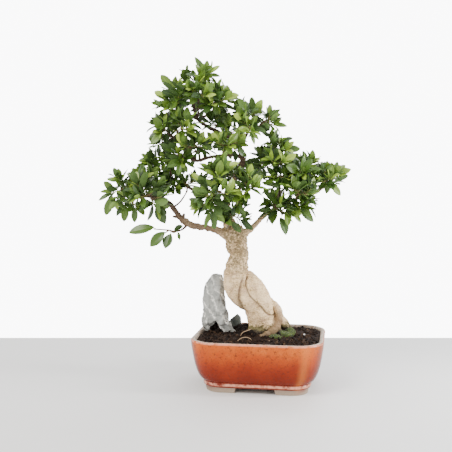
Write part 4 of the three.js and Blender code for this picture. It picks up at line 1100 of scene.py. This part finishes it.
def wood_notes(points):
    """The radius of each point's run, if that is the wrapping root, and how near the root's edge it is."""
    spots, radii, wraps = [], [], []
    runs = [*TRUNK.items(), *ROOTS.items()]
    runs += [(name, deepened(rows)) for name, rows in LIMBS.items()]
    for name, rows in runs:
        for x, y, z, radius in smooth_run(rows, 3):
            spots.append((x, y, z))
            radii.append(radius)
            wraps.append(name == "wrap")
    spots, radii, wraps = np.array(spots), np.array(radii), np.array(wraps, float)
    nearest = np.empty(len(points), int)
    seam = np.empty(len(points))
    for start in range(0, len(points), BATCH):
        some = slice(start, start + BATCH)
        gaps = np.linalg.norm(points[some, None, :] - spots[None], axis=2) - radii[None]
        nearest[some] = gaps.argmin(axis=1)
        seam[some] = gaps[:, wraps > 0].min(axis=1) - gaps[:, wraps == 0].min(axis=1)
    return radii[nearest], wraps[nearest], np.exp(-((seam / CREASE_WIDTH["seam"]) ** 2))


def make_tree():
    """Trunk, roots and thick limbs as one skin, and the thin limbs and twigs as runs of their own."""
    body = Body()
    for rows in TRUNK.values():
        body.add(*tube(smooth_run(rows, 4), SIDES["trunk"]))
    for rows in ROOTS.values():
        body.add(*tube(smooth_run(rows, 4), SIDES["root"]))
    thin = Body()
    for rows in map(deepened, LIMBS.values()):
        thick = [row for row in rows if row[3] >= THICK]
        if len(thick) > 1:
            body.add(*tube(smooth_run(thick, 4), SIDES["limb"]))
        slender = rows[max(0, len(thick) - 2) :]
        thin.add(*tube(knotted(smooth_run(slender, 5)), SIDES["thin_limb"]), young=0.0)
    mesh = remeshed(body.mesh("wood"), SKIN_SQUARES["wood"])
    relaxed(mesh, 2)
    carve_bark(mesh)
    piece("trunk_and_limbs", mesh, [bark_finish()], "bark", "tree", sharp=180)
    for _, twig, _, _ in SKELETONS:
        thin.add(*tube(knotted(smooth_run(twig, 5)), SIDES["twig"]), young=0.12)
    piece("twigs", thin.mesh("twigs", in_planting), [stem_finish()], "bark", "tree", sharp=180)


def knotted(rows):
    """A run with slight swellings where leaves once grew, and a little wander."""
    rows = np.array(rows)
    run = np.concatenate([[0], np.cumsum(np.linalg.norm(np.diff(rows[:, :3], axis=0), axis=1))])
    rows[:, 3] *= 1 + 0.10 * np.sin(run / 1.9) ** 4 + 0.05 * np.sin(run / 4.3 + rows[0, 0])
    wander = np.stack([np.sin(run / 7.1 + rows[0, 0]), np.cos(run / 8.3), np.sin(run / 6.2 + 1)], axis=1)
    rows[1:-1, :3] += 0.28 * wander[1:-1]
    return rows


def carve_bark(mesh):
    """Creases, wrinkles and knobs in the skin of the wood, with notes of them for its finish, among them the
    painted shade in its creases and hollows.
    """
    points, normals = points_of(mesh), normals_of(mesh)
    radius, wrap, seam = wood_notes(points)
    z = points[:, 2]
    trunk = ramp(radius, 6, 13)
    front = ramp(normals[:, 1], 0.45, -0.1)
    main, side = line_distance(points[:, [0, 2]], MAIN_CREASE)
    second, _ = line_distance(points[:, [0, 2]], SIDE_CREASE)
    main_cut = np.exp(-((main / CREASE_WIDTH["main"]) ** 2)) * front * (1 - wrap)
    shoulder = ramp(main, 9, 1.5) * (side < 0) * front * ramp(z, 128, 140)
    side_cut = np.exp(-((second / CREASE_WIDTH["side"]) ** 2)) * front
    seam = seam * ramp(z, 154, 146)
    neck = ramp(z, 200, 222) * ramp(z, 312, 298) * trunk
    warp = noise_at(points, 14, 2)
    wrinkle = np.sin(z * 1.15 + 3.2 * warp + 0.5 * np.sin(points[:, 0] * 0.3))
    lumpy = crumple_at(points, 15, 3, 8)
    rough = crumple_at(points, 4.2, 2, 12)
    knobs = crumple_at(points, 8, 2, 15)
    scar = np.exp(-(np.hypot(points[:, 0] - SCAR["x"], z - SCAR["z"]) / SCAR["size"]) ** 2) * front
    flute = noise_at(points * (1, 1, 0.22), 7, 6) * ramp(z, 135, 100)
    height = trunk * (1.15 * lumpy + 0.45 * rough) + 1.0 * flute * trunk
    height += neck * (0.25 * wrinkle + 1.1 * rough + 1.5 * knobs)
    height += (1 - trunk) * (0.5 * rough + (0.3 + 1.6 * ramp(radius, 3, 5)) * knobs)
    height += -2.6 * main_cut + 1.1 * shoulder - 3.2 * side_cut * trunk - 2.2 * seam + 1.8 * scar
    # painted shade in the creases, the seam round the wrapping root, the hollows of the flutes and between
    # the knobs; the scar's dark mark is its own colour
    crease = main_cut * 1.1 + side_cut * 0.95 + seam * 0.9 + ramp(-flute, 0.2, 0.6) * 0.35 + scar * 0.6
    crease = np.clip(crease + ramp(-knobs - rough, 0.35, 1) * (neck + 0.5 * (1 - trunk)) * 0.8, 0, 1)
    note(mesh, "crease", crease * trunk)
    note(mesh, "rough", np.clip(ramp(z, 196, 250) * trunk + 0.25, 0, 1))
    note(mesh, "root", wrap * ramp(z, 150, 120))
    pale_limb = ramp(points[:, 0], -48, -25) * ramp(z, 350, 335)
    note(mesh, "thin", (1 - ramp(radius, 4.5, 12)) * (1 - 0.6 * pale_limb))
    set_points(mesh, in_planting(points + normals * height[:, None]))


# Leaves
LEAF_ROWS = 7
LEAF_COLUMNS = [-1, -0.62, -0.22, 0, 0.22, 0.62, 1]
WIDTH_RATIO = 0.475
LEAF_FOLD = 0.16
LEAF_THICKNESS = 0.5
PETIOLE_SHARE = 0.13
PLAIN = {"across": 0.0, "length": 0.0, "youth": 0.0, "tone": 0.5}  # a leaf's notes, on a stem
ROSETTE = {"span": 27, "leaves": 10, "turn": 2.4, "lift": 0.6}
SIDE_SHOOT = {"at": 0.45, "reach": 17, "span": 13, "leaves": 6, "size": 0.95, "share": 0.6}
LEAF_SIZES = (0.85, 0.98, 1.04, 1.05, 1.0, 0.92, 0.78, 0.64)  # along a shoot, from its lowest leaf to its tip
TRIES = 9  # places that are tried for a leaf, of which the one with the fewest crossings is kept
MOST_CROSSINGS = 4  # points of a leaf and its neighbours that may be in one another
CLEARANCE = {"blade": 1.1, "wood": 0.6}
MOST_LEAVES = 4000
FAR = 1e6  # where the leaves lie that aren't grown yet
BARE_LIMBS = ("droop",)  # limbs whose sprays carry only the leaves that are placed one by one
# Leaves placed one by one, as the camera sees them: x, z of the foot, x, z of the tip, share of young,
# width against the usual one
PLACED_LEAVES = [
    (-204, 303, -257, 297, 0.05, 0.8), (-184, 294, -215, 266, 0.05, 0.95), (-172, 291, -184, 262, 0.05, 1.4),
    (-166, 296, -150, 309, 0.05, 1.1), (-158, 294, -155, 278, 0.05, 0.9), (-199, 347, -184, 307, 0.05, 1.2),
    (-73, 326, -55, 306, 0.10, 1.1), (-56, 314, -36, 293, 0.10, 0.9), (-38, 317, -13, 298, 0.05, 0.9),
    (-98, 333, -107, 300, 0.05, 0.6), (38, 322, 54, 288, 0.05, 1.1), (28, 340, 20, 309, 0.05, 1.3),
    (52, 338, 54, 305, 0.50, 1.0), (62, 330, 82, 314, 0.30, 1.0), (74, 340, 106, 314, 0.05, 0.8),
    (70, 344, 108, 338, 0.10, 0.8), (60, 404, 104, 412, 0.00, 1.0),
]
# Leaves at the crown's outline and in front, as the camera sees them: x, z of the tip, length, share of young
TIP_LEAVES = [
    (-313, 356, 38, 0.10), (-298, 386, 34, 0.30), (-287, 399, 32, 0.50), (-276, 405, 32, 0.10),
    (-262, 406, 30, 0.10), (-246, 417, 34, 0.05), (-234, 421, 32, 0.60), (-218, 421, 32, 0.20),
    (-232, 437, 40, 0.10), (-298, 326, 40, 0.10), (-281, 326, 34, 0.05), (-262, 313, 34, 0.10),
    (-242, 312, 38, 0.10), (-222, 328, 32, 0.20), (-125, 628, 38, 0.05), (-102, 621, 32, 0.30),
    (-78, 613, 36, 0.80), (-76, 593, 32, 0.20), (-113, 592, 28, 0.95), (-141, 592, 28, 0.90),
    (-152, 588, 28, 0.05), (-190, 595, 38, 0.50), (-202, 566, 34, 0.70), (-200, 535, 30, 0.20),
    (-198, 521, 28, 0.20), (-68, 575, 28, 0.30), (-42, 562, 46, 0.60), (-205, 503, 30, 0.05),
    (-207, 486, 28, 0.60), (-192, 499, 30, 0.05), (-131, 490, 32, 0.90), (-80, 477, 32, 0.90),
    (-62, 484, 34, 0.80), (-197, 458, 28, 0.05), (-216, 441, 28, 0.10), (-196, 424, 30, 0.05),
    (-17, 516, 34, 0.20), (-28, 546, 34, 0.05), (4, 548, 38, 0.85), (-50, 541, 30, 0.10),
    (38, 521, 30, 0.15), (15, 508, 34, 0.40), (52, 499, 28, 0.05), (-24, 482, 34, 0.90),
    (64, 468, 42, 0.85), (77, 455, 34, 0.05), (38, 440, 28, 0.95), (66, 446, 32, 0.50),
    (82, 444, 30, 0.05), (96, 436, 30, 0.60), (113, 437, 28, 0.80), (118, 410, 34, 0.05),
    (136, 428, 30, 0.85), (148, 431, 28, 0.10), (162, 424, 32, 0.30), (175, 417, 36, 0.70),
    (158, 366, 36, 0.40), (136, 384, 34, 0.05), (-28, 407, 32, 0.90), (-10, 384, 34, 0.90),
    (-26, 354, 36, 0.85), (-62, 366, 34, 0.90), (-81, 432, 32, 0.95), (-86, 404, 34, 0.95),
    (-120, 362, 36, 0.40), (-96, 322, 34, 0.05), (-138, 344, 38, 0.60), (-46, 372, 36, 0.80),
    (-5, 346, 32, 0.40), (40, 360, 40, 0.05), (70, 380, 38, 0.05), (-160, 505, 36, 0.05),
    (-112, 534, 30, 0.10), (-86, 524, 30, 0.20), (-98, 505, 32, 0.05), (-72, 540, 30, 0.60),
    (-122, 503, 30, 0.10), (-82, 500, 32, 0.10), (-131, 558, 30, 0.30), (-120, 544, 30, 0.10),
    (-22, 460, 34, 0.20), (-7, 448, 34, 0.10), (3, 463, 32, 0.50), (-30, 440, 34, 0.05),
    (-100, 492, 32, 0.10), (-112, 478, 30, 0.10), (-2, 471, 34, 0.30), (-14, 472, 32, 0.10),
    (-12, 434, 30, 0.10), (22, 372, 32, 0.10), (-118, 394, 32, 0.05), (-140, 408, 32, 0.20),
]


def leaf_grid():
    """Faces of a leaf: upper skin, lower skin, shared edge. Points run in rows from foot to tip."""
    width = len(LEAF_COLUMNS)
    inner = width - 2
    row_size = width + inner
    faces, slots = [], []

    def upper(r, c):
        return 1 + r * row_size + c

    def lower(r, c):
        return upper(r, c) if c in (0, width - 1) else 1 + r * row_size + width + c - 1

    tip = 1 + LEAF_ROWS * row_size
    for c in range(width - 1):
        faces += [(0, upper(0, c + 1), upper(0, c)), (0, lower(0, c), lower(0, c + 1))]
        slots += [0, 1]
        last = LEAF_ROWS - 1
        faces += [(tip, upper(last, c), upper(last, c + 1)), (tip, lower(last, c + 1), lower(last, c))]
        slots += [0, 1]
        for r in range(LEAF_ROWS - 1):
            faces.append((upper(r, c), upper(r, c + 1), upper(r + 1, c + 1), upper(r + 1, c)))
            faces.append((lower(r, c + 1), lower(r, c), lower(r + 1, c), lower(r + 1, c + 1)))
            slots += [0, 1]
    return faces, slots


LEAF_FACES, LEAF_SLOTS = leaf_grid()
LEAF_ALONG = 0.5 - 0.5 * np.cos(math.pi * (0.04 + 0.93 * (np.arange(LEAF_ROWS) + 0.6) / (LEAF_ROWS + 0.1)))


class Leaf:
    """A leaf's place and shape. It is tried out by sample points before it is made."""

    def __init__(self, base, direction, facing, length, draw, width=1.0):
        self.base, self.length = base, length
        self.direction = unit(direction)
        self.normal = unit(facing - self.direction * (facing @ self.direction))
        self.side = np.cross(self.direction, self.normal)
        self.middle = base + self.direction * length / 2
        self.half = length * WIDTH_RATIO / 2 * draw.uniform(0.92, 1.15) * width
        self.fold = LEAF_FOLD * draw.uniform(0.5, 2.0)
        self.droop = draw.uniform(0.02, 0.26)
        self.round = draw.uniform(0.3, 1.0)
        self.wave = draw.uniform(-0.5, 0.5)
        self.twist = draw.uniform(-0.3, 0.3)

    def outline(self, a):
        pointed = np.sin(math.pi * a**0.92) ** 1.02 * (1 + 0.10 * (a - 0.5))
        blunt = (4 * a * (1 - a)) ** 0.62 * (0.86 + 0.22 * a)
        return blend(pointed, blunt, self.round * 0.85)

    def surface(self, a, w, lift=0.0):
        """Points of the blade at shares a of its length and w of its half width."""
        width = self.outline(a) * w
        rise = self.fold * self.half * np.abs(width) - self.droop * self.length * a * a
        rise += self.wave * np.sin(a * 7 + w) * w * w + lift
        roll = self.twist * a * width * self.half
        across = width * self.half
        return (
            self.base
            + np.multiply.outer(a * self.length * (1 - 0.3 * self.droop * a), self.direction)
            + np.multiply.outer(across, self.side)
            + np.multiply.outer(rise + roll, self.normal)
        )

    def points(self):
        foot = self.surface(np.array([0.0]), np.array([0.0]))
        tip = self.surface(np.array([1.0]), np.array([0.0]))
        columns = np.array(LEAF_COLUMNS)
        inner = columns[1:-1]
        a = np.repeat(LEAF_ALONG, len(columns) + len(inner))
        w = np.tile(np.concatenate([columns, inner]), LEAF_ROWS)
        sides = [0] + [1] * len(inner) + [0] + [-1] * len(inner)
        lift = np.tile(np.array(sides), LEAF_ROWS) * LEAF_THICKNESS / 2
        lift = lift - 0.22 * (w == 0) * np.sin(math.pi * a)
        body = self.surface(a, w, lift)
        across = np.concatenate([[0], w, [0]])
        length = np.concatenate([[0], a, [1]])
        return np.concatenate([foot, body, tip]), across, length

    def samples(self):
        a = np.repeat([0.2, 0.4, 0.6, 0.8, 0.97], 3)
        w = np.tile([-0.9, 0.0, 0.9], 5)
        return self.surface(a, w)


class Room:
    """The leaves placed so far and the wood, to keep new leaves clear of them."""

    def __init__(self, segments):
        self.leaves = []
        self.samples = []
        self.middles = np.full((MOST_LEAVES, 3), FAR)
        self.reaches = np.zeros(MOST_LEAVES)
        self.starts = np.array([s[0] for s in segments])
        self.ways = np.array([s[1] for s in segments]) - self.starts
        self.radii = np.array([s[2] for s in segments])

    def blocked(self, leaf):
        """How many sample points of a leaf are in the wood or another leaf, or another leaf's in it."""
        samples = leaf.samples()
        offset = samples[:, None, :] - self.starts[None]
        t = np.clip(np.sum(offset * self.ways, axis=2) / np.sum(self.ways**2, axis=1), 0, 1)
        gap = np.linalg.norm(offset - t[..., None] * self.ways[None], axis=2) - self.radii
        total = int(np.sum(gap[3:] < CLEARANCE["wood"]))
        apart = np.linalg.norm(self.middles - leaf.middle, axis=1)
        for k in np.flatnonzero(apart < self.reaches + leaf.length / 2):
            total += crossing(samples, self.leaves[k]) + crossing(self.samples[k], leaf)
        return total

    def keep(self, leaf):
        self.middles[len(self.leaves)] = leaf.middle
        self.reaches[len(self.leaves)] = leaf.length / 2
        self.leaves.append(leaf)
        self.samples.append(leaf.samples())


def crossing(samples, leaf):
    """How many of the sample points lie in or close to a leaf's blade."""
    offset = samples - leaf.base
    a = offset @ leaf.direction / leaf.length
    w = offset @ leaf.side / leaf.half
    height = offset @ leaf.normal + leaf.droop * leaf.length * a * a
    inside = (a > 0.12) & (a < 1.0) & (np.abs(w) < leaf.outline(np.clip(a, 0.001, 0.999)))
    return int(np.sum(inside & (np.abs(height) < CLEARANCE["blade"])))


def nearest_on_limb(rows, target):
    """The point past a limb's foot that a spray's twig leaves from, with the limb's radius there."""
    rows = np.asarray(rows, float)
    spots = []
    for i in range(1, len(rows)):
        for t in ((0.6, 0.8) if i == 1 else (0, 0.2, 0.4, 0.6, 0.8)):
            spots.append(blend(rows[i - 1], rows[i], t))
    spots = np.array(spots)
    return spots[np.linalg.norm(spots[:, :3] - target, axis=1).argmin()]


def grow_skeleton(limb, *tips):
    """A spray's fork, its brown twig, its green stem and its tips."""
    ends = [np.array(tip[:3], float) for tip in deepened(tips)]
    centre = np.mean(ends, axis=0)
    root = nearest_on_limb(deepened(LIMBS[limb]), centre)
    length = np.linalg.norm(centre - root[:3])
    woody = max(0.5, (root[3] + 4) / length)
    knee = blend(root[:3], centre, woody / 2) - 0.12 * length * UP
    wood_end = blend(root[:3], centre, woody)
    heading = unit(wood_end - knee)
    fork = wood_end + heading * 0.4 * np.linalg.norm(centre - wood_end)
    twig = [(*root[:3], 1.9), (*knee, 1.75), (*wood_end, 1.35)]
    return fork, twig, wood_end, ends


SKELETONS = [grow_skeleton(*spray) for spray in SPRAYS]


def wood_segments():
    """Every run of wood and stem as straight stretches: start, end, radius."""
    segments = []
    for rows in [*TRUNK.values(), *ROOTS.values(), *map(deepened, LIMBS.values())]:
        rows = np.asarray(rows, float)
        segments += [(a[:3], b[:3], min(a[3], b[3])) for a, b in zip(rows[:-1], rows[1:])]
    for fork, twig, wood_end, ends in SKELETONS:
        twig = np.array(twig)
        segments += [(a[:3], b[:3], 1.3) for a, b in zip(twig[:-1], twig[1:])]
        segments += [(wood_end, fork, 1.0)] + [(fork, blend(fork, end, 0.7), 0.9) for end in ends]
    return segments


def grow_leaf(body, room, base, direction, facing, length, youth, draw):
    """A leaf turned to where it crosses the fewest others, unless it still crosses too many."""
    best, least = None, None
    for attempt in range(TRIES):
        spread = 0.16 + 0.05 * attempt
        shake = np.array([draw.uniform(-spread, spread) for _ in range(3)])
        tilt = np.array([draw.uniform(-0.45, 0.45) for _ in range(3)])
        size = length * draw.uniform(0.88, 1.1) * (1 - 0.012 * attempt)
        leaf = Leaf(base, direction + shake, facing + tilt, size, draw)
        crossings = room.blocked(leaf)
        if best is None or crossings < least:
            best, least = leaf, crossings
        if crossings == 0:
            break
    if least > MOST_CROSSINGS:
        return
    room.keep(best)
    add_leaf(body, best, best.base - best.direction * PETIOLE_SHARE * best.length, youth, draw)


def add_leaf(body, leaf, start, youth, draw):
    """A leaf's blade, and its petiole from a point of the stem."""
    inside = leaf.surface(np.array([0.1]), np.array([0.0]))[0]
    middle = blend(start, leaf.base, 0.5) + draw.uniform(-0.04, 0.04) * np.linalg.norm(leaf.base - start) * UP
    petiole = [(*start, 0.75), (*middle, 0.6), (*inside, 0.4)]
    own = {"youth": youth, "tone": draw.random()}
    body.add(*tube(petiole, 5), slot=2, young=0.7 + 0.3 * youth, across=0.0, length=0.0, **own)
    points, across, along = leaf.points()
    body.add(points, LEAF_FACES, slot=LEAF_SLOTS, young=1.0, across=across, length=along, **own)


def make_shoot(body, room, foot, end, span, count, length, share, draw):
    """A green stem with leaves round its last stretch, older towards its foot, and a bud at its tip."""
    axis = unit(end - foot)
    heading = unit(axis + ROSETTE["lift"] * UP)
    span = min(span, 0.8 * np.linalg.norm(end - foot))
    bend = end - axis * span * 0.5
    stem = smooth_run([(*foot, 1.2), (*blend(foot, bend, 0.5), 1.12), (*bend, 1.0), (*end, 0.75)], 4)
    stem_young = np.repeat(np.linspace(0.2, 1.0, len(stem) + 4), 6)
    body.add(*tube(stem, 6), slot=2, young=stem_young, **PLAIN)
    bud = [(*end, 0.8), (*(end + heading * 2), 0.85), (*(end + heading * 5), 0.15)]
    body.add(*tube(smooth_run(bud, 3), 6), slot=2, young=1.0, **PLAIN)
    u, v = frames_along(np.array([end - axis, end, end + heading]))[1]
    first = draw.uniform(0, 2 * math.pi)
    for k in range(count):
        order = k / (count - 1)  # 0 for the lowest and oldest leaf, 1 for the youngest at the tip
        turn = first + k * ROSETTE["turn"]
        outward = math.cos(turn) * u + math.sin(turn) * v
        lean = blend(1.3, 0.28, order**0.9) + draw.uniform(-0.15, 0.15)
        direction = math.cos(lean) * heading + math.sin(lean) * outward
        node = end - axis * span * (1 - order) ** 1.1
        size = length * LEAF_SIZES[min(7, round(order * 6.4))]
        petiole = PETIOLE_SHARE * size
        youth = float(np.clip((share - 0.75 + 1.1 * order**2.2) * 1.4 + draw.uniform(-0.2, 0.2), 0, 1))
        facing = 0.8 * unit(heading - direction * (heading @ direction)) + 0.55 * UP
        grow_leaf(body, room, node + direction * petiole, direction, facing, size - petiole, youth, draw)


def make_spray(index, finishes, room, placed):
    """One leafy end of a twig: the leaves placed on it one by one, then its shoots with theirs."""
    limb, *tips = SPRAYS[index]
    fork, _, wood_end, ends = SKELETONS[index]
    draw = random.Random(SEED + 101 * index)
    body = Body()
    body.add(*tube(smooth_run([(*wood_end, 1.35), (*fork, 1.25)], 3), 8), slot=2, young=0.25, **PLAIN)
    for leaf, start, youth in placed:
        add_leaf(body, leaf, start, youth, draw)
    for end, (_, _, _, length, share) in zip(ends, tips):
        if limb in BARE_LIMBS:
            body.add(*tube(smooth_run([(*fork, 1.5), (*end, 1.1)], 5), 8), slot=2, young=0.15, **PLAIN)
            continue
        make_shoot(body, room, fork, end, ROSETTE["span"], ROSETTE["leaves"], length, share, draw)
        aside = np.array([draw.uniform(-1, 1), draw.uniform(-1, 0.6), draw.uniform(-0.3, 0.9)])
        start = blend(fork, end, SIDE_SHOOT["at"])
        aside = start + unit(aside) * SIDE_SHOOT["reach"]
        young = share * SIDE_SHOOT["share"]
        size = length * SIDE_SHOOT["size"]
        make_shoot(body, room, start, aside, SIDE_SHOOT["span"], SIDE_SHOOT["leaves"], size, young, draw)
    name = f"spray_{index + 1:02d}"
    piece(f"leafy_{name}", body.mesh(name, in_planting), finishes, "leaf", name, sharp=70)


def seen(x, y, z):
    """The place at depth y that the camera sees where it sees x, z at depth 0."""
    eye_x, eye_y, eye_z = CAMERA["place"]
    scale = (y - eye_y) / -eye_y
    return np.array([blend(eye_x, x, scale), y, blend(eye_z, z, scale)])


def nearest_stem(x, z):
    """The spray whose stems pass nearest to where the camera sees x, z, and the point of them."""
    best = (1e9, None, None)
    for index, (fork, _, wood_end, ends) in enumerate(SKELETONS):
        for start, end in [(wood_end, fork)] + [(fork, end) for end in ends]:
            for t in (0.1, 0.3, 0.5, 0.7, 0.85):
                point = blend(start, end, t)
                gap = np.linalg.norm((seen(x, point[1], z) - point)[[0, 2]]) + max(0.0, point[1]) * 0.25
                if gap < best[0]:
                    best = (gap, index, point)
    return best[1:]


def place_leaves(room):
    """The leaves that are placed one by one, for each spray: leaf, start of its petiole, youth."""
    draw = random.Random(SEED + 9)
    placed = [[] for _ in SPRAYS]
    rows = [(x, z, (tx, tz), None, young, width) for x, z, tx, tz, young, width in PLACED_LEAVES]
    rows += [(x, z, None, length, young, 1.0) for x, z, length, young in TIP_LEAVES]
    for x, z, tip, length, young, width in rows:
        index, start = nearest_stem(x, z)
        if tip:
            foot = seen(x, start[1] - 3, z)
            end = seen(tip[0], start[1] - 3 - draw.uniform(0, 10), tip[1])
        else:
            end = seen(x, start[1] - draw.uniform(0, 8), z)
            span = np.linalg.norm(end - start)
            foot = blend(end, start, min(length / span, 0.9))
        facing = np.array([draw.uniform(-0.4, 0.4), -0.8, 0.55 + draw.uniform(-0.3, 0.4)])
        leaf = Leaf(foot, end - foot, facing, np.linalg.norm(end - foot), draw, width)
        room.keep(leaf)
        placed[index].append((leaf, start, young))
    return placed


def make_sprays():
    finishes = [leaf_finish("leaf_upper", True), leaf_finish("leaf_under", False), stem_finish()]
    room = Room(wood_segments())
    for index, placed in enumerate(place_leaves(room)):
        make_spray(index, finishes, room, placed)


# Moss and fine roots
MOSS_TUFTS = 6500
MOSS = [((27, -33, 92), (15, 12, 9.5)), ((45, -19, 94.5), (15, 13, 9.5)), ((59, 1, 94.5), (11, 14, 9.5))]
FINE_ROOTS = [
    [
        (-47, -54, 90, 0.6), (-41, -56, 97, 0.6), (-32, -57, 101, 0.6), (-22, -56, 99, 0.55),
        (-13, -54, 90, 0.5),
    ],
    [(2, -56, 88, 0.55), (9, -58, 94.5, 0.55), (18, -58, 94, 0.5), (27, -55, 87, 0.5)],
    [(-39, -26, 96, 0.5), (-35, -27, 103, 0.55), (-28, -25, 106, 0.6), (-17, -14, 108, 0.8)],
]


def make_moss():
    """A lumpy cushion with fine blades standing out of it."""
    draw = random.Random(SEED + 20)
    body = Body()
    for (centre, radii), (points, faces) in zip(MOSS, lumps(3, 4, 0.22, 51)):
        body.add(points * radii + centre, faces)
    mesh = remeshed(body.mesh("moss"), SKIN_SQUARES["moss"])
    relaxed(mesh, 2)
    points, normals = points_of(mesh), normals_of(mesh)
    points = points + normals * (0.9 * crumple_at(points, 3.4, 2, 61))[:, None]
    note(mesh, "tone", np.full(len(points), 0.35))
    set_points(mesh, in_planting(points))
    finish = moss_finish()
    piece("moss_cushion", mesh, [finish], "moss", "moss", sharp=180)
    tufts = Body()
    shown = np.flatnonzero((normals[:, 2] > -0.1) & (points[:, 2] > 86))
    for _ in range(MOSS_TUFTS):
        at = points[shown[draw.randrange(len(shown))]] + [draw.uniform(-0.5, 0.5) for _ in range(3)]
        way = unit(np.array([draw.gauss(0, 0.45), draw.gauss(0, 0.45), 1.0]))
        add_blade(tufts, at, way, draw.uniform(1.2, 3.4), draw)
    piece("moss_tufts", tufts.mesh("moss_tufts", in_planting), [finish], "moss", sharp=180)


def add_blade(body, foot, way, length, draw):
    """A three-sided pointed blade of moss."""
    u = unit(np.cross(way, (draw.random(), draw.random(), 0.3)))
    v = np.cross(way, u)
    ring = [foot + 0.22 * (math.cos(t) * u + math.sin(t) * v) for t in (0, 2.1, 4.2)]
    faces = [(0, 2, 1), (0, 1, 3), (1, 2, 3), (2, 0, 3)]
    body.add([*ring, foot + way * length], faces, tone=draw.random())


def make_fine_roots():
    body = Body()
    for rows in FINE_ROOTS:
        body.add(*tube(smooth_run(rows, 6), 8))
    finish = plain_finish("root_fibre", (0.40, 0.275, 0.165), 0.7, 0.2)
    piece("fine_roots", body.mesh("fine_roots", in_planting), [finish], "bark", sharp=180)


# Stage, light and camera
FLOOR = [(-4000, -4000), (4000, -4000), (4000, 400), (-4000, 400)]  # x, y of its corners


def make_stage():
    edge = in_planting([(x, y, 0) for x, y in FLOOR])
    mesh = bpy.data.meshes.new("floor")
    mesh.from_pydata(edge.tolist(), [], [tuple(range(len(edge)))])
    mesh.materials.append(plain_finish("floor", (0.74, 0.74, 0.73), 0.5))
    made = bpy.data.objects.new("floor", mesh)
    bpy.context.scene.collection.objects.link(made)


def add_light(name, place, size, power, colour):
    """A soft light of the given width and height, turned to the tree."""
    data = bpy.data.lights.new(name, "AREA")
    data.shape = "RECTANGLE"
    data.size, data.size_y = size
    data.energy = power
    data.color = colour
    light = bpy.data.objects.new(name, data)
    bpy.context.scene.collection.objects.link(light)
    light.location = place
    light.rotation_euler = (Vector(LIGHT_TARGET) - Vector(place)).to_track_quat("-Z", "Y").to_euler()


WORLD = {"light": 1.4, "backdrop": 10}  # how bright the world is to the tree, and to the camera
LIGHT_TARGET = (0, 0, 0.3)
LIGHTS = [
    ("key", (-1.0, -1.3, 1.7), (1.1, 1.1), 56, (1, 0.95, 0.88)),
    ("strip", (1.0, -0.1, 0.5), (0.14, 0.8), 16, (1, 1, 1)),
    ("rim", (0.5, 1.4, 1.5), (1.2, 1.2), 22, (0.96, 0.98, 1)),
]  # name, place, width and height in metres, watts, colour


def make_lights():
    """Three soft lights, and a plain world that is brighter to the camera than to the tree."""
    world = bpy.data.worlds.new("studio")
    bpy.context.scene.world = world
    world.use_nodes = True
    tree = world.node_tree
    background = tree.nodes["Background"]
    background.inputs["Color"].default_value = (0.98, 0.98, 1, 1)
    seen_by = tree.nodes.new("ShaderNodeLightPath")
    strength = tree.nodes.new("ShaderNodeMapRange")
    strength.inputs["To Min"].default_value = WORLD["light"]
    strength.inputs["To Max"].default_value = WORLD["backdrop"]
    tree.links.new(seen_by.outputs["Is Camera Ray"], strength.inputs["Value"])
    tree.links.new(strength.outputs["Result"], background.inputs["Strength"])
    for light in LIGHTS:
        add_light(*light)


CAMERA = {"place": (-65.9, -1346, 383), "down": math.radians(3.3), "focal_pixels": 700, "picture": 452}


def make_camera():
    data = bpy.data.cameras.new("camera")
    data.sensor_width = 36
    data.sensor_fit = "HORIZONTAL"
    data.lens = data.sensor_width * CAMERA["focal_pixels"] / CAMERA["picture"]
    camera = bpy.data.objects.new("camera", data)
    bpy.context.scene.collection.objects.link(camera)
    camera.location = in_planting(CAMERA["place"])
    camera.rotation_euler = (math.pi / 2 - CAMERA["down"], 0, VIEW_TURN)
    bpy.context.scene.camera = camera


make_stage()
make_lights()
make_camera()
make_pot()
make_soil()
make_standing_stone()
make_dark_stone()
make_perlite()
make_tree()
make_moss()
make_fine_roots()
make_sprays()
